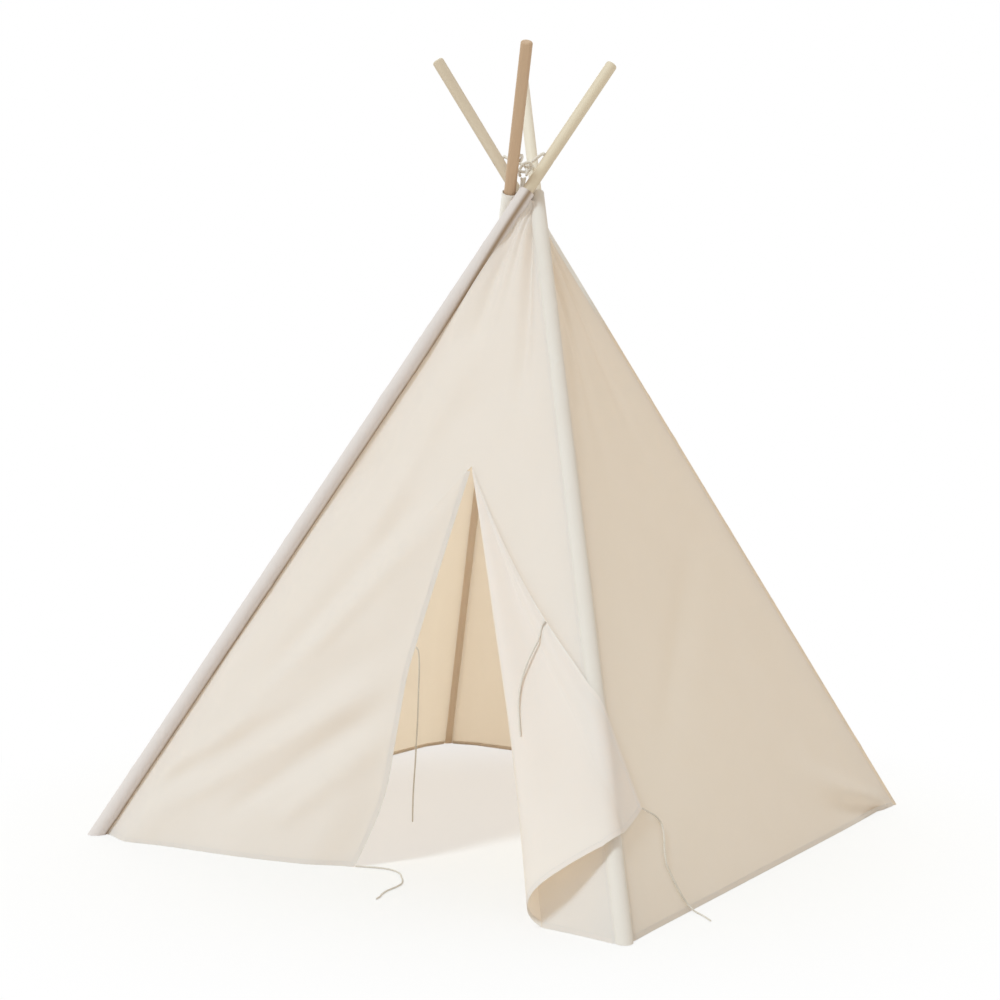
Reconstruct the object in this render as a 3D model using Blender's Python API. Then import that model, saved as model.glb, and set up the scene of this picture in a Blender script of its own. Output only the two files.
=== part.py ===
"""Kids teepee: four lashed poles in sewn sleeves, canvas sides and a door with two flaps.

Metres, +Z up. The origin is on the floor under the crossing, and the door faces -Y.
"""

import math

import bmesh
import bpy
import numpy as np
from mathutils import Matrix, Vector

# Frame
BASE_WIDTH = 1.15
CROSSING_HEIGHT = 1.24
POLE_SIDE_OFFSET = 0.027
SEAT_GAP = 0.0003
SHARP_TURN = math.radians(40)

# Poles
POLE_DIAMETER = 0.023
POLE_PAST_CROSSING = 0.308
POLE_END_ROUND = 0.003
POLE_SIDES = 28
POLE_END_STEPS = 3

# Lashing rope and the holes that it goes through
ROPE_DIAMETER = 0.006
ROPE_CLEARANCE = 0.0006
HOLE_PAST_CROSSING = 0.0834
ROPE_HOLE_SIDES = 20
HOLE_OVERRUN = 0.004
ROPE_END_INSET = 0.0025
ROPE_EXIT_RUN = 0.0012
ROPE_SIDE_TURN = math.radians(70)
ROPE_SIDE_STEPS = 4
ROPE_SIDE_DROP = 0.009
KNOT_OVER_CROSSING = 0.052
KNOT_LOBE = 0.0057
KNOT_RISE = 0.0062
KNOT_OPEN_SHARE = 0.10
KNOT_STEPS = 48
KNOT_FACE = math.radians(32)
KNOT_TURN = math.radians(-120)

# Sleeves
SLEEVE_CLOTH = 0.0018
SLEEVE_SLACK = 0.002
SLEEVE_PAST_CROSSING = 0.0054
SLEEVE_SIDES = 28

# Canvas sides
CANVAS = 0.0016
CANVAS_UNDER_CROSSING = 0.025
CANVAS_SAG = 0.006
FRONT_SAG = 0.003
SEAM_TURN = math.radians(35)
SIDE_ROWS = 18
ROW_CROWDING = 1.25
SIDE_COLUMNS = 13

# Door
DOOR_TOP_HEIGHT = 0.714
DOOR_TOP_X = 0.058
LEFT_FOLD_FOOT_X = -0.500
RIGHT_FOLD_FOOT_X = 0.435
LEFT_EDGE_FOOT_X = -0.020
FLAP_GAP = 0.0012
FLAP_TOP_SHARE = 0.035
LEFT_SWING = math.radians(14)
LEFT_CURL = 0.022
LEFT_WAVE = 0.006
LEFT_WAVES = 2.5
LEFT_CURL_START_SHARE = 0.80
LEFT_CURL_HIGH_SHARE = 0.55
LEFT_BOW = 0.020
LEFT_BOW_HIGH_SHARE = 0.50
LEFT_BOW_CROWDING = 1.3
ROLL_LIFT = 0.045
ROLL_BULGE = 0.070
ROLL_BULGE_HEIGHT = 0.020
ROLL_SHARE = 0.80
RISE_SHARE = 0.40
TOP_RISE_SHARE = 0.50
EDGE_DRAW = 0.024
EDGE_DRAW_SHARE = 0.72
HEM_BEND_PAST = 0.020
HEM_BEND_HEIGHT = 0.120
WRAP_CORNER_PAST = 0.072
WRAP_CORNER_HEIGHT = 0.190
WRAP_CLEARANCE = 0.0018
WRAP_BLEND = 0.09
LEFT_COLUMNS = 20
DOOR_LEFT_COLUMNS = 6
DOOR_RIGHT_COLUMNS = 7
DOOR_ROWS_BELOW = 14
DOOR_ROWS_ABOVE = 11

# Tie cords
TIE_DIAMETER = 0.003
CORD_STEP_DIAMETERS = 2.6
ROUTE_STEPS = 24

# Folds in each side: share of the way across at the top and at the hem, share of the fold depth,
# share of the width that it takes, and share of the height where it starts
FOLD_SHARES = {
    "front": (
        (0.80, 0.86, 1.0, 0.050, 0.62),
        (0.55, 0.70, 0.6, 0.060, 0.74),
        (0.30, 0.24, 0.5, 0.080, 0.66),
    ),
    "right": (
        (0.30, 0.22, 0.9, 0.060, 0.45),
        (0.62, 0.75, 0.8, 0.070, 0.30),
    ),
    "back": (
        (0.40, 0.30, 0.9, 0.070, 0.30),
        (0.70, 0.78, 0.8, 0.060, 0.45),
    ),
    "left": (
        (0.35, 0.28, 0.8, 0.070, 0.40),
        (0.66, 0.72, 0.9, 0.060, 0.30),
    ),
}
FOLD_DEPTH = 0.010
FOLD_EDGE_SHARE = 0.5
FOLD_TOP_SHARE = 0.25
FOLD_TAPER_SHARE = 0.094

# Rows down the right flap and columns across it: start share, end share, steps
RIGHT_ROW_SHARES = ((1.0, 0.48, 16), (0.48, FLAP_TOP_SHARE, 6))
RIGHT_COLUMN_SHARES = ((0.0, 0.30, 7), (0.30, 0.70, 4), (0.70, 1.0, 8))

CORNERS = {
    "front_left": (-1, -1),
    "front_right": (1, -1),
    "back_right": (1, 1),
    "back_left": (-1, 1),
}

# The rope holes all run the same way, so two of them go through their poles from side to side
HOLE_TURNS = {
    "front_left": 0,
    "front_right": math.radians(-90),
    "back_right": 0,
    "back_left": math.radians(-90),
}
SIDES = {
    "front": ("front_left", "front_right"),
    "right": ("front_right", "back_right"),
    "back": ("back_right", "back_left"),
    "left": ("back_left", "front_left"),
}

WOOD = ("beech", (0.66, 0.50, 0.34), 0.55)
CLOTH = ("canvas", (0.80, 0.74, 0.65), 0.90)
ROPE = ("cotton_rope", (0.76, 0.71, 0.64), 0.85)
CORD = ("cotton_cord", (0.74, 0.70, 0.64), 0.85)


def clear_scene():
    """Removes what the scene holds."""
    for item in list(bpy.data.objects):
        bpy.data.objects.remove(item, do_unlink=True)


def material(finish):
    """The Principled material of a finish, made once."""
    name, colour, roughness = finish
    found = bpy.data.materials.get(name)
    if found is None:
        found = bpy.data.materials.new(name)
        found.use_nodes = True
        shader = found.node_tree.nodes["Principled BSDF"]
        shader.inputs["Base Color"].default_value = (*colour, 1)
        shader.inputs["Roughness"].default_value = roughness
        shader.inputs["Metallic"].default_value = 0
    return found


def mix(first, second, share):
    """The point at a share of the way from the first to the second."""
    return first + (second - first) * share


def smooth_share(value):
    """A share clamped to 0 to 1, with flat ends."""
    value = min(max(value, 0), 1)
    return value * value * (3 - 2 * value)


def place_mesh(name, mesh_data, finish, origin, turn=None):
    """An object from mesh_data (a bmesh in the object's own axes), standing at origin."""
    mesh = bpy.data.meshes.new(name)
    bmesh.ops.recalc_face_normals(mesh_data, faces=mesh_data.faces)
    mesh_data.to_mesh(mesh)
    mesh_data.free()
    piece = bpy.data.objects.new(name, mesh)
    bpy.context.scene.collection.objects.link(piece)
    piece.matrix_world = Matrix.Translation(origin) @ (turn.to_4x4() if turn else Matrix())
    mesh.materials.append(material(finish))
    mesh.shade_smooth()
    mesh.set_sharp_from_angle(angle=SHARP_TURN)
    return piece


# Frame geometry
HALF_DIAGONAL = BASE_WIDTH / math.sqrt(2)
FOOT_RADIAL = math.sqrt(HALF_DIAGONAL**2 - POLE_SIDE_OFFSET**2)
FRAME_TURN = math.asin(POLE_SIDE_OFFSET / HALF_DIAGONAL)
LEAN = math.atan(FOOT_RADIAL / CROSSING_HEIGHT)
CROSSING_REACH = CROSSING_HEIGHT / math.cos(LEAN)
ROPE_HOLE_REACH = CROSSING_REACH + HOLE_PAST_CROSSING
SLEEVE_LENGTH = CROSSING_REACH + SLEEVE_PAST_CROSSING
CANVAS_TOP_HEIGHT = CROSSING_HEIGHT - CANVAS_UNDER_CROSSING
KNOT_HEIGHT = CROSSING_HEIGHT + KNOT_OVER_CROSSING
POLE_RADIUS = POLE_DIAMETER / 2
SLEEVE_BORE = POLE_RADIUS + SLEEVE_SLACK
SLEEVE_OUTER = SLEEVE_BORE + SLEEVE_CLOTH
HALF_CANVAS = CANVAS / 2
HEM_HEIGHT = HALF_CANVAS * math.sin(LEAN) + SEAT_GAP / 2


class Pole:
    """The line of one pole, with its directions out from the centre, to its side, and down."""

    def __init__(self, corner):
        self.corner = corner
        sign_x, sign_y = CORNERS[corner]
        diagonal = Vector((sign_x, sign_y, 0)).normalized()
        self.out = Matrix.Rotation(-FRAME_TURN, 3, "Z") @ diagonal
        self.side = Vector((-self.out.y, self.out.x, 0))
        self.up = Vector((0, 0, 1)) * math.cos(LEAN) - self.out * math.sin(LEAN)
        self.face = self.out * math.cos(LEAN) + Vector((0, 0, 1)) * math.sin(LEAN)
        self.foot = self.out * FOOT_RADIAL + self.side * POLE_SIDE_OFFSET
        self.hole = self.along(ROPE_HOLE_REACH)
        self.hole_turn = HOLE_TURNS[corner]

    def along(self, reach):
        """The point on the axis this far from the floor, measured along the pole."""
        return self.foot + self.up * reach

    def at(self, height):
        """The point on the axis at this height."""
        return self.along(height / math.cos(LEAN))

    def level(self, point, height):
        """The point slid along the pole to this height."""
        return point + self.up * ((height - point.z) / self.up.z)

    def round(self, reach, angle, radius):
        """The point beside the axis: angle 0 faces the centre and up, a quarter turn is to its side."""
        ray = self.face * math.cos(angle) + self.side * math.sin(angle)
        return self.along(reach) + ray * radius

    def turn(self):
        """The rotation whose X is the hole's direction and whose Z runs up the pole."""
        across = self.up.cross(self.face)
        upright = Matrix((self.face, across, self.up)).transposed()
        return upright @ Matrix.Rotation(self.hole_turn, 3, "Z")


POLES = {corner: Pole(corner) for corner in CORNERS}


def turned_solid(profile, sides):
    """A closed turned solid about Z from (radius, height) points that run from bottom to top."""
    solid = bmesh.new()
    rings = []
    for radius, height in profile:
        ring = []
        for step in range(sides):
            angle = math.tau * step / sides
            ring.append(solid.verts.new((radius * math.cos(angle), radius * math.sin(angle), height)))
        rings.append(ring)
    for lower, upper in zip(rings, rings[1:]):
        for step in range(sides):
            after = (step + 1) % sides
            solid.faces.new((lower[step], lower[after], upper[after], upper[step]))
    solid.faces.new(list(reversed(rings[0])))
    solid.faces.new(rings[-1])
    return solid


def make_pole(pole):
    """A round pole with eased ends, drilled through for the rope, with its origin at the hole."""
    tilted = (POLE_RADIUS - POLE_END_ROUND) * math.sin(LEAN) + POLE_END_ROUND * (1 - math.cos(LEAN))
    end_lift = SLEEVE_CLOTH + SEAT_GAP + tilted
    low = end_lift / math.cos(LEAN) - ROPE_HOLE_REACH
    high = POLE_PAST_CROSSING - HOLE_PAST_CROSSING
    eased = []
    for step in range(POLE_END_STEPS + 1):
        angle = math.pi / 2 * step / POLE_END_STEPS
        inset = POLE_END_ROUND * (1 - math.sin(angle))
        eased.append((POLE_RADIUS - inset, POLE_END_ROUND * (1 - math.cos(angle))))
    profile = [(radius, low + rise) for radius, rise in eased]
    profile += [(radius, high - rise) for radius, rise in reversed(eased)]
    name = f"pole_{pole.corner}"
    piece = place_mesh(name, turned_solid(profile, POLE_SIDES), WOOD, pole.hole, pole.turn())

    hole_radius = ROPE_DIAMETER / 2 + ROPE_CLEARANCE
    reach = POLE_RADIUS + HOLE_OVERRUN
    drill = turned_solid([(hole_radius, -reach), (hole_radius, reach)], ROPE_HOLE_SIDES)
    tip = pole.turn() @ Matrix.Rotation(math.pi / 2, 3, "Y")
    cutter = place_mesh(f"cut_{name}", drill, WOOD, pole.hole, tip)
    cutter.hide_render = True
    cutter.display_type = "WIRE"
    cut = piece.modifiers.new("rope_hole", "BOOLEAN")
    cut.operation = "DIFFERENCE"
    cut.object = cutter


def make_sleeve(pole):
    """A sewn tube round the pole, closed and flat where it stands on the floor, open at its top."""
    solid = bmesh.new()
    rises = math.cos(LEAN)
    loops = []
    for radius, floor in ((SLEEVE_OUTER, 0), (SLEEVE_BORE, SLEEVE_CLOTH)):
        foot_ring = []
        top_ring = []
        for step in range(SLEEVE_SIDES):
            angle = math.tau * step / SLEEVE_SIDES
            ray_rise = math.cos(angle) * math.sin(LEAN)
            reach = (floor - radius * ray_rise) / rises
            foot_ring.append(solid.verts.new(pole.round(reach, angle, radius) - pole.hole))
            top_ring.append(solid.verts.new(pole.round(SLEEVE_LENGTH, angle, radius) - pole.hole))
        loops.append((foot_ring, top_ring))
    for foot_ring, top_ring in loops:
        for step in range(SLEEVE_SIDES):
            after = (step + 1) % SLEEVE_SIDES
            solid.faces.new((foot_ring[step], foot_ring[after], top_ring[after], top_ring[step]))
        solid.faces.new(foot_ring)
    outer_top, inner_top = loops[0][1], loops[1][1]
    for step in range(SLEEVE_SIDES):
        after = (step + 1) % SLEEVE_SIDES
        solid.faces.new((outer_top[step], outer_top[after], inner_top[after], inner_top[step]))
    place_mesh(f"sleeve_{pole.corner}", solid, CLOTH, pole.hole)


class Side:
    """One canvas side, as a surface between the seams of two sleeves."""

    def __init__(self, name):
        self.name = name
        self.left, self.right = (POLES[corner] for corner in SIDES[name])
        self.inward = -(self.left.out + self.right.out).normalized()
        self.sag = FRONT_SAG if name == "front" else CANVAS_SAG

    def seam_normal(self, pole, height):
        """The way across to the other pole, and the way out of the tent, both square to the pole."""
        other = self.right if pole is self.left else self.left
        across = other.at(height) - pole.at(height)
        across -= pole.up * across.dot(pole.up)
        across.normalize()
        outward = across.cross(pole.up) if pole is self.left else pole.up.cross(across)
        return across, outward

    def seam(self, pole, height):
        """The edge of the canvas beside this pole's sleeve."""
        across, outward = self.seam_normal(pole, height)
        radius = SLEEVE_OUTER + SEAT_GAP + HALF_CANVAS
        ray = across * math.cos(SEAM_TURN) + outward * math.sin(SEAM_TURN)
        return pole.level(pole.at(height) + ray * radius, height)

    def fold_depth(self, across, height):
        """How far the cloth lies inside the flat surface here: its sag and its long folds."""
        climb = (height - HEM_HEIGHT) / (CANVAS_TOP_HEIGHT - HEM_HEIGHT)
        climb = min(max(climb, 0), 1)
        edge = 4 * across * (1 - across)
        depth = self.sag * max(edge, 0) * math.sin(math.pi * climb)
        fade = min(max(edge, 0) / FOLD_EDGE_SHARE, 1)
        taper = mix(FOLD_TOP_SHARE, 1, min((1 - climb) / FOLD_TAPER_SHARE, 1))
        for top, foot, deep, width, low in FOLD_SHARES[self.name]:
            middle = foot + (top - foot) * climb
            grow = smooth_share((climb - low) / (1 - low))
            ridge = math.exp(-(((across - middle) / width) ** 2))
            depth += FOLD_DEPTH * deep * ridge * grow * taper * fade
        return depth

    def point(self, across, height):
        """The middle of the cloth at a share of the way across and a height."""
        flat = mix(self.seam(self.left, height), self.seam(self.right, height), across)
        return flat + self.inward * self.fold_depth(across, height)


class Front(Side):
    """The side with the door, which is also read by its X."""

    def __init__(self):
        super().__init__("front")

    def share(self, x, height):
        """The share of the way across that this X is at this height."""
        low = self.seam(self.left, height).x
        high = self.seam(self.right, height).x
        return (x - low) / (high - low)

    def cloth(self, x, height):
        """The middle of the cloth at this X and height."""
        return self.point(self.share(x, height), height)


def door_line(foot_x, share):
    """X and height on a line from the top of the door, share 0, to its foot on the hem, share 1."""
    height = mix(DOOR_TOP_HEIGHT, HEM_HEIGHT, share)
    return mix(DOOR_TOP_X, foot_x, share), height


def thicken(piece, thickness):
    """Gives a sheet its thickness, half to each side."""
    solid = piece.modifiers.new("cloth", "SOLIDIFY")
    solid.thickness = thickness
    solid.offset = 0
    solid.use_even_offset = False
    solid.use_rim = True


def grid_sheet(rows, halved=False):
    """A sheet of four-sided faces through rows of points of equal length, or of halves of such faces."""
    sheet = bmesh.new()
    lines = [[sheet.verts.new(point) for point in row] for row in rows]
    for lower, upper in zip(lines, lines[1:]):
        for step in range(len(lower) - 1):
            if halved:
                sheet.faces.new((lower[step], lower[step + 1], upper[step + 1]))
                sheet.faces.new((lower[step], upper[step + 1], upper[step]))
            else:
                sheet.faces.new((lower[step], lower[step + 1], upper[step + 1], upper[step]))
    return sheet


def side_heights():
    """Heights of the rows of a side, closer near the top where the folds gather."""
    shares = [1 - (1 - step / SIDE_ROWS) ** ROW_CROWDING for step in range(SIDE_ROWS + 1)]
    return [mix(HEM_HEIGHT, CANVAS_TOP_HEIGHT, share) for share in shares]


def make_side(side):
    """One whole canvas side."""
    rows = []
    for height in side_heights():
        rows.append([side.point(step / SIDE_COLUMNS, height) for step in range(SIDE_COLUMNS + 1)])
    piece = place_mesh(f"panel_{side.name}", grid_sheet(rows), CLOTH, Vector())
    thicken(piece, CANVAS)


def make_front(front):
    """The front side, one piece of canvas with the door cut out of it up to the slit's top."""
    sheet = bmesh.new()
    left_lines = []
    right_lines = []
    for step in range(DOOR_ROWS_BELOW):
        share = 1 - step / DOOR_ROWS_BELOW
        left_x, height = door_line(LEFT_FOLD_FOOT_X, share)
        right_x, height = door_line(RIGHT_FOLD_FOOT_X, share)
        left_end = front.share(left_x, height)
        right_start = front.share(right_x, height)
        left_lines.append([
            sheet.verts.new(front.point(left_end * column / DOOR_LEFT_COLUMNS, height))
            for column in range(DOOR_LEFT_COLUMNS + 1)
        ])
        right_lines.append([
            sheet.verts.new(front.point(mix(right_start, 1, column / DOOR_RIGHT_COLUMNS), height))
            for column in range(DOOR_RIGHT_COLUMNS + 1)
        ])
    split = front.share(DOOR_TOP_X, DOOR_TOP_HEIGHT)
    for step in range(DOOR_ROWS_ABOVE + 1):
        height = mix(DOOR_TOP_HEIGHT, CANVAS_TOP_HEIGHT, step / DOOR_ROWS_ABOVE)
        left_line = [
            sheet.verts.new(front.point(split * column / DOOR_LEFT_COLUMNS, height))
            for column in range(DOOR_LEFT_COLUMNS + 1)
        ]
        right_line = [left_line[-1]]
        right_line += [
            sheet.verts.new(front.point(mix(split, 1, column / DOOR_RIGHT_COLUMNS), height))
            for column in range(1, DOOR_RIGHT_COLUMNS + 1)
        ]
        left_lines.append(left_line)
        right_lines.append(right_line)
    for lines in (left_lines, right_lines):
        for lower, upper in zip(lines, lines[1:]):
            for step in range(len(lower) - 1):
                sheet.faces.new((lower[step], lower[step + 1], upper[step + 1], upper[step]))
    piece = place_mesh("panel_front", sheet, CLOTH, Vector())
    thicken(piece, CANVAS)


def fold_axis(front, foot_x):
    """The straight fold line of a flap: its top point and its unit way down to the hem."""
    top = front.cloth(DOOR_TOP_X, DOOR_TOP_HEIGHT)
    foot = front.cloth(foot_x, HEM_HEIGHT)
    return top, (foot - top).normalized()


def left_edge(down_share):
    """X and height of the left flap's free edge, which bows out above its corner."""
    edge_x, height = door_line(LEFT_EDGE_FOOT_X, down_share)
    low = max((down_share - LEFT_BOW_HIGH_SHARE) / (1 - LEFT_BOW_HIGH_SHARE), 0)
    return edge_x + LEFT_BOW * math.sin(math.pi * low**LEFT_BOW_CROWDING), height


def left_flap_point(front, down_share, out_share):
    """The left flap's cloth: down_share runs from the slit's top to the hem, out_share to its free edge."""
    fold_x, height = door_line(LEFT_FOLD_FOOT_X, down_share)
    edge_x, height = left_edge(down_share)
    start = FLAP_GAP / max(edge_x - fold_x, FLAP_GAP)
    share = mix(start, 1, out_share)
    flat = front.cloth(mix(fold_x, edge_x, share), height)
    way = fold_axis(front, LEFT_FOLD_FOOT_X)[1]
    pivot = front.cloth(fold_x, height)
    point = pivot + Matrix.Rotation(-LEFT_SWING, 3, way) @ (flat - pivot)
    inward = -front.seam_normal(front.left, height)[1]
    swell = down_share * (1 - out_share * out_share)
    wave = LEFT_WAVE * math.sin(math.pi * LEFT_WAVES * out_share) * swell
    curled_out = smooth_share((out_share - LEFT_CURL_START_SHARE) / (1 - LEFT_CURL_START_SHARE))
    curled_down = smooth_share((down_share - LEFT_CURL_HIGH_SHARE) / (1 - LEFT_CURL_HIGH_SHARE))
    return point + inward * (wave + LEFT_CURL * curled_out * curled_down)


def stretch_shares(stretches):
    """Shares of the way along, in stretches of (start share, end share, steps) that follow each other."""
    shares = [stretches[0][0]]
    for start, end, steps in stretches:
        shares += [mix(start, end, step / steps) for step in range(1, steps + 1)]
    return shares


def left_flap_rows(front):
    """Rows of the left flap, with its hem brought to the floor's level."""
    rows = []
    for down_share in stretch_shares([(1, FLAP_TOP_SHARE, DOOR_ROWS_BELOW)]):
        rows.append([
            left_flap_point(front, down_share, column / LEFT_COLUMNS)
            for column in range(LEFT_COLUMNS + 1)
        ])
    for column in range(LEFT_COLUMNS + 1):
        hem = rows[0][column].z
        stretch = (DOOR_TOP_HEIGHT - HEM_HEIGHT) / (DOOR_TOP_HEIGHT - hem)
        for row in rows:
            point = row[column]
            point.z = DOOR_TOP_HEIGHT - (DOOR_TOP_HEIGHT - point.z) * stretch
    return rows


def right_hem(front, share):
    """The right flap's hem, folded back: its X and height on the unrolled canvas, and its lift off it."""
    pole = front.right
    turn = front.seam_normal(pole, WRAP_CORNER_HEIGHT)[1].angle(
        SIDE_SURFACES["right"].seam_normal(pole, WRAP_CORNER_HEIGHT)[1]
    )
    corner_x = pole.at(WRAP_CORNER_HEIGHT).x + turn * wrap_radius() + WRAP_CORNER_PAST
    points = (
        (RIGHT_FOLD_FOOT_X, HEM_HEIGHT),
        (RIGHT_FOLD_FOOT_X - ROLL_BULGE, ROLL_BULGE_HEIGHT),
        (pole.at(HEM_BEND_HEIGHT).x + HEM_BEND_PAST, HEM_BEND_HEIGHT),
        (corner_x, WRAP_CORNER_HEIGHT),
    )
    left = 1 - share
    weights = (left**3, 3 * left**2 * share, 3 * left * share**2, share**3)
    x = sum(weight * point[0] for weight, point in zip(weights, points))
    height = sum(weight * point[1] for weight, point in zip(weights, points))
    lift = ROLL_LIFT * math.sin(math.pi * min(share / ROLL_SHARE, 1))
    return x, height, lift


def wrap_radius():
    """How far the wrapped flap's middle lies from the front right pole's axis."""
    return SLEEVE_OUTER + WRAP_CLEARANCE + HALF_CANVAS


def right_flap_point(front, down_share, out_share):
    """The right flap's cloth: a cone from the slit's top to the folded hem, laid round the sleeve."""
    hem_x, hem_height, hem_lift = right_hem(front, out_share)
    drawn = EDGE_DRAW * out_share * out_share * math.sin(math.pi * min(down_share / EDGE_DRAW_SHARE, 1))
    x = mix(DOOR_TOP_X, hem_x, down_share) - FLAP_GAP * (1 - out_share) - drawn
    level = mix(DOOR_TOP_HEIGHT, hem_height, down_share)
    roll = hem_lift * down_share
    pole = front.right
    outward = front.seam_normal(pole, level)[1]
    along = (pole.at(level) - front.left.at(level)).normalized()
    seam_lift = math.sin(SEAM_TURN) * (SLEEVE_OUTER + SEAT_GAP + HALF_CANVAS)
    rest_lift = mix(CANVAS + FLAP_GAP, wrap_radius() - seam_lift, smooth_share(down_share / TOP_RISE_SHARE))
    risen = smooth_share(out_share / RISE_SHARE)
    flat = front.cloth(x, level) + outward * (roll + rest_lift * risen)
    short = pole.at(level).x - x
    wrapped = wrap_point(pole, level, short, outward, along, wrap_radius() + roll)
    return mix(flat, wrapped, risen * smooth_share((WRAP_BLEND - short) / WRAP_BLEND))


def wrap_point(pole, level, short, outward, along, radius):
    """A point before, round or past the front right sleeve; short is what is left to the tangent point."""
    centre = pole.at(level)
    if short > 0:
        return centre + outward * radius - along * short
    right_side = SIDE_SURFACES["right"]
    across, right_out = right_side.seam_normal(pole, level)
    turn = outward.angle(right_out)
    past = -short
    angle = past / radius
    if angle < turn:
        axis = outward.cross(right_out).normalized()
        return centre + Matrix.Rotation(angle, 3, axis) @ outward * radius
    return centre + right_out * radius + across * (past - turn * radius)


def right_flap_rows(front):
    """Rows of the right flap from its hem to the slit's top."""
    return [
        [right_flap_point(front, down_share, out_share) for out_share in stretch_shares(RIGHT_COLUMN_SHARES)]
        for down_share in stretch_shares(RIGHT_ROW_SHARES)
    ]


def make_flap(name, rows, origin):
    """A door flap, with its origin at the top of its fold line."""
    local = [[point - origin for point in row] for row in rows]
    piece = place_mesh(name, grid_sheet(local, True), CLOTH, origin)
    thicken(piece, CANVAS)


def smooth_route(points, step):
    """Evenly spaced points on a smooth curve through the route's own points."""
    route = np.array([tuple(point) for point in points], dtype=float)
    ends = np.vstack([2 * route[0] - route[1], route, 2 * route[-1] - route[-2]])
    dense = []
    for first, second, third, fourth in zip(ends, ends[1:], ends[2:], ends[3:]):
        for share in np.linspace(0, 1, ROUTE_STEPS, endpoint=False):
            square, cube = share**2, share**3
            dense.append(0.5 * (
                2 * second + (third - first) * share
                + (2 * first - 5 * second + 4 * third - fourth) * square
                + (3 * second - first - 3 * third + fourth) * cube
            ))
    dense.append(route[-1])
    dense = np.array(dense)
    reach = np.concatenate([[0], np.cumsum(np.linalg.norm(np.diff(dense, axis=0), axis=1))])
    count = max(2, round(reach[-1] / step) + 1)
    even = np.linspace(0, reach[-1], count)
    return np.stack([np.interp(even, reach, dense[:, axis]) for axis in range(3)], axis=1)


def make_cord(name, points, diameter, finish, rings=2, origin=None):
    """A round cord along a route, as a curve with a bevel and closed ends."""
    origin = origin or Vector()
    curve = bpy.data.curves.new(name, "CURVE")
    curve.dimensions = "3D"
    curve.bevel_depth = diameter / 2
    curve.bevel_resolution = rings
    curve.use_fill_caps = True
    spline = curve.splines.new("POLY")
    spline.points.add(len(points) - 1)
    for knot, point in zip(spline.points, points):
        knot.co = (*(Vector(point) - origin), 1)
    piece = bpy.data.objects.new(name, curve)
    bpy.context.scene.collection.objects.link(piece)
    piece.location = origin
    curve.materials.append(material(finish))
    return piece


def knot_points():
    """An overhand knot's path about the lashing's centre, left open at one lobe for the rope's two ends."""
    centre = Vector((0, 0, KNOT_HEIGHT))
    stand = Matrix.Rotation(KNOT_FACE, 3, "Z") @ Matrix.Rotation(math.pi / 2, 3, "X")
    stand = stand @ Matrix.Rotation(KNOT_TURN, 3, "Z")
    start = math.pi / 3 + math.pi * KNOT_OPEN_SHARE
    span = math.tau - math.tau * KNOT_OPEN_SHARE
    points = []
    for step in range(KNOT_STEPS + 1):
        angle = start + span * step / KNOT_STEPS
        x = KNOT_LOBE * (math.sin(angle) + 2 * math.sin(2 * angle))
        y = KNOT_LOBE * (math.cos(angle) - 2 * math.cos(2 * angle))
        z = -KNOT_RISE * math.sin(3 * angle)
        points.append(centre + stand @ Vector((x, y, z)))
    return points


def least_gap(points, diameter):
    """The least gap between a tube and itself, away from neighbouring points."""
    array = np.array([tuple(point) for point in points])
    reach = np.concatenate([[0], np.cumsum(np.linalg.norm(np.diff(array, axis=0), axis=1))])
    apart = np.linalg.norm(array[:, None] - array[None], axis=2)
    far = np.abs(reach[:, None] - reach[None]) > math.pi * diameter / 2
    return float(apart[far].min() - diameter)


def beside_knot(knot, towards):
    """Where a rope that comes from a point meets the knot, two seats' gaps short of it."""
    centre = Vector((0, 0, KNOT_HEIGHT))
    way = (towards - centre).normalized()
    nearest = max(knot, key=lambda point: (point - centre).dot(way))
    return nearest + way * (ROPE_DIAMETER / 2 + 2 * SEAT_GAP)


def rope_points(pole, knot):
    """The rope from the knot, close beside the pole, into its hole, where it ends short of the far mouth."""
    beside = POLE_RADIUS + SEAT_GAP + ROPE_DIAMETER / 2
    reach = ROPE_HOLE_REACH
    near = pole.hole_turn
    way_in = [pole.round(reach, near, beside + ROPE_EXIT_RUN)]
    if near:
        for step in range(1, ROPE_SIDE_STEPS + 1):
            share = step / ROPE_SIDE_STEPS
            angle = near + ROPE_SIDE_TURN * smooth_share(share)
            drop = ROPE_SIDE_DROP + ROPE_SIDE_DROP * share
            way_in.insert(0, pole.round(reach - drop, angle, beside + ROPE_EXIT_RUN / 2 + SEAT_GAP))
    points = [beside_knot(knot, way_in[0]), *way_in]
    points.append(pole.round(reach, near, POLE_RADIUS))
    points.append(pole.round(reach, near, 0))
    points.append(pole.round(reach, near + math.pi, POLE_RADIUS - ROPE_END_INSET))
    return points


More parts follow.
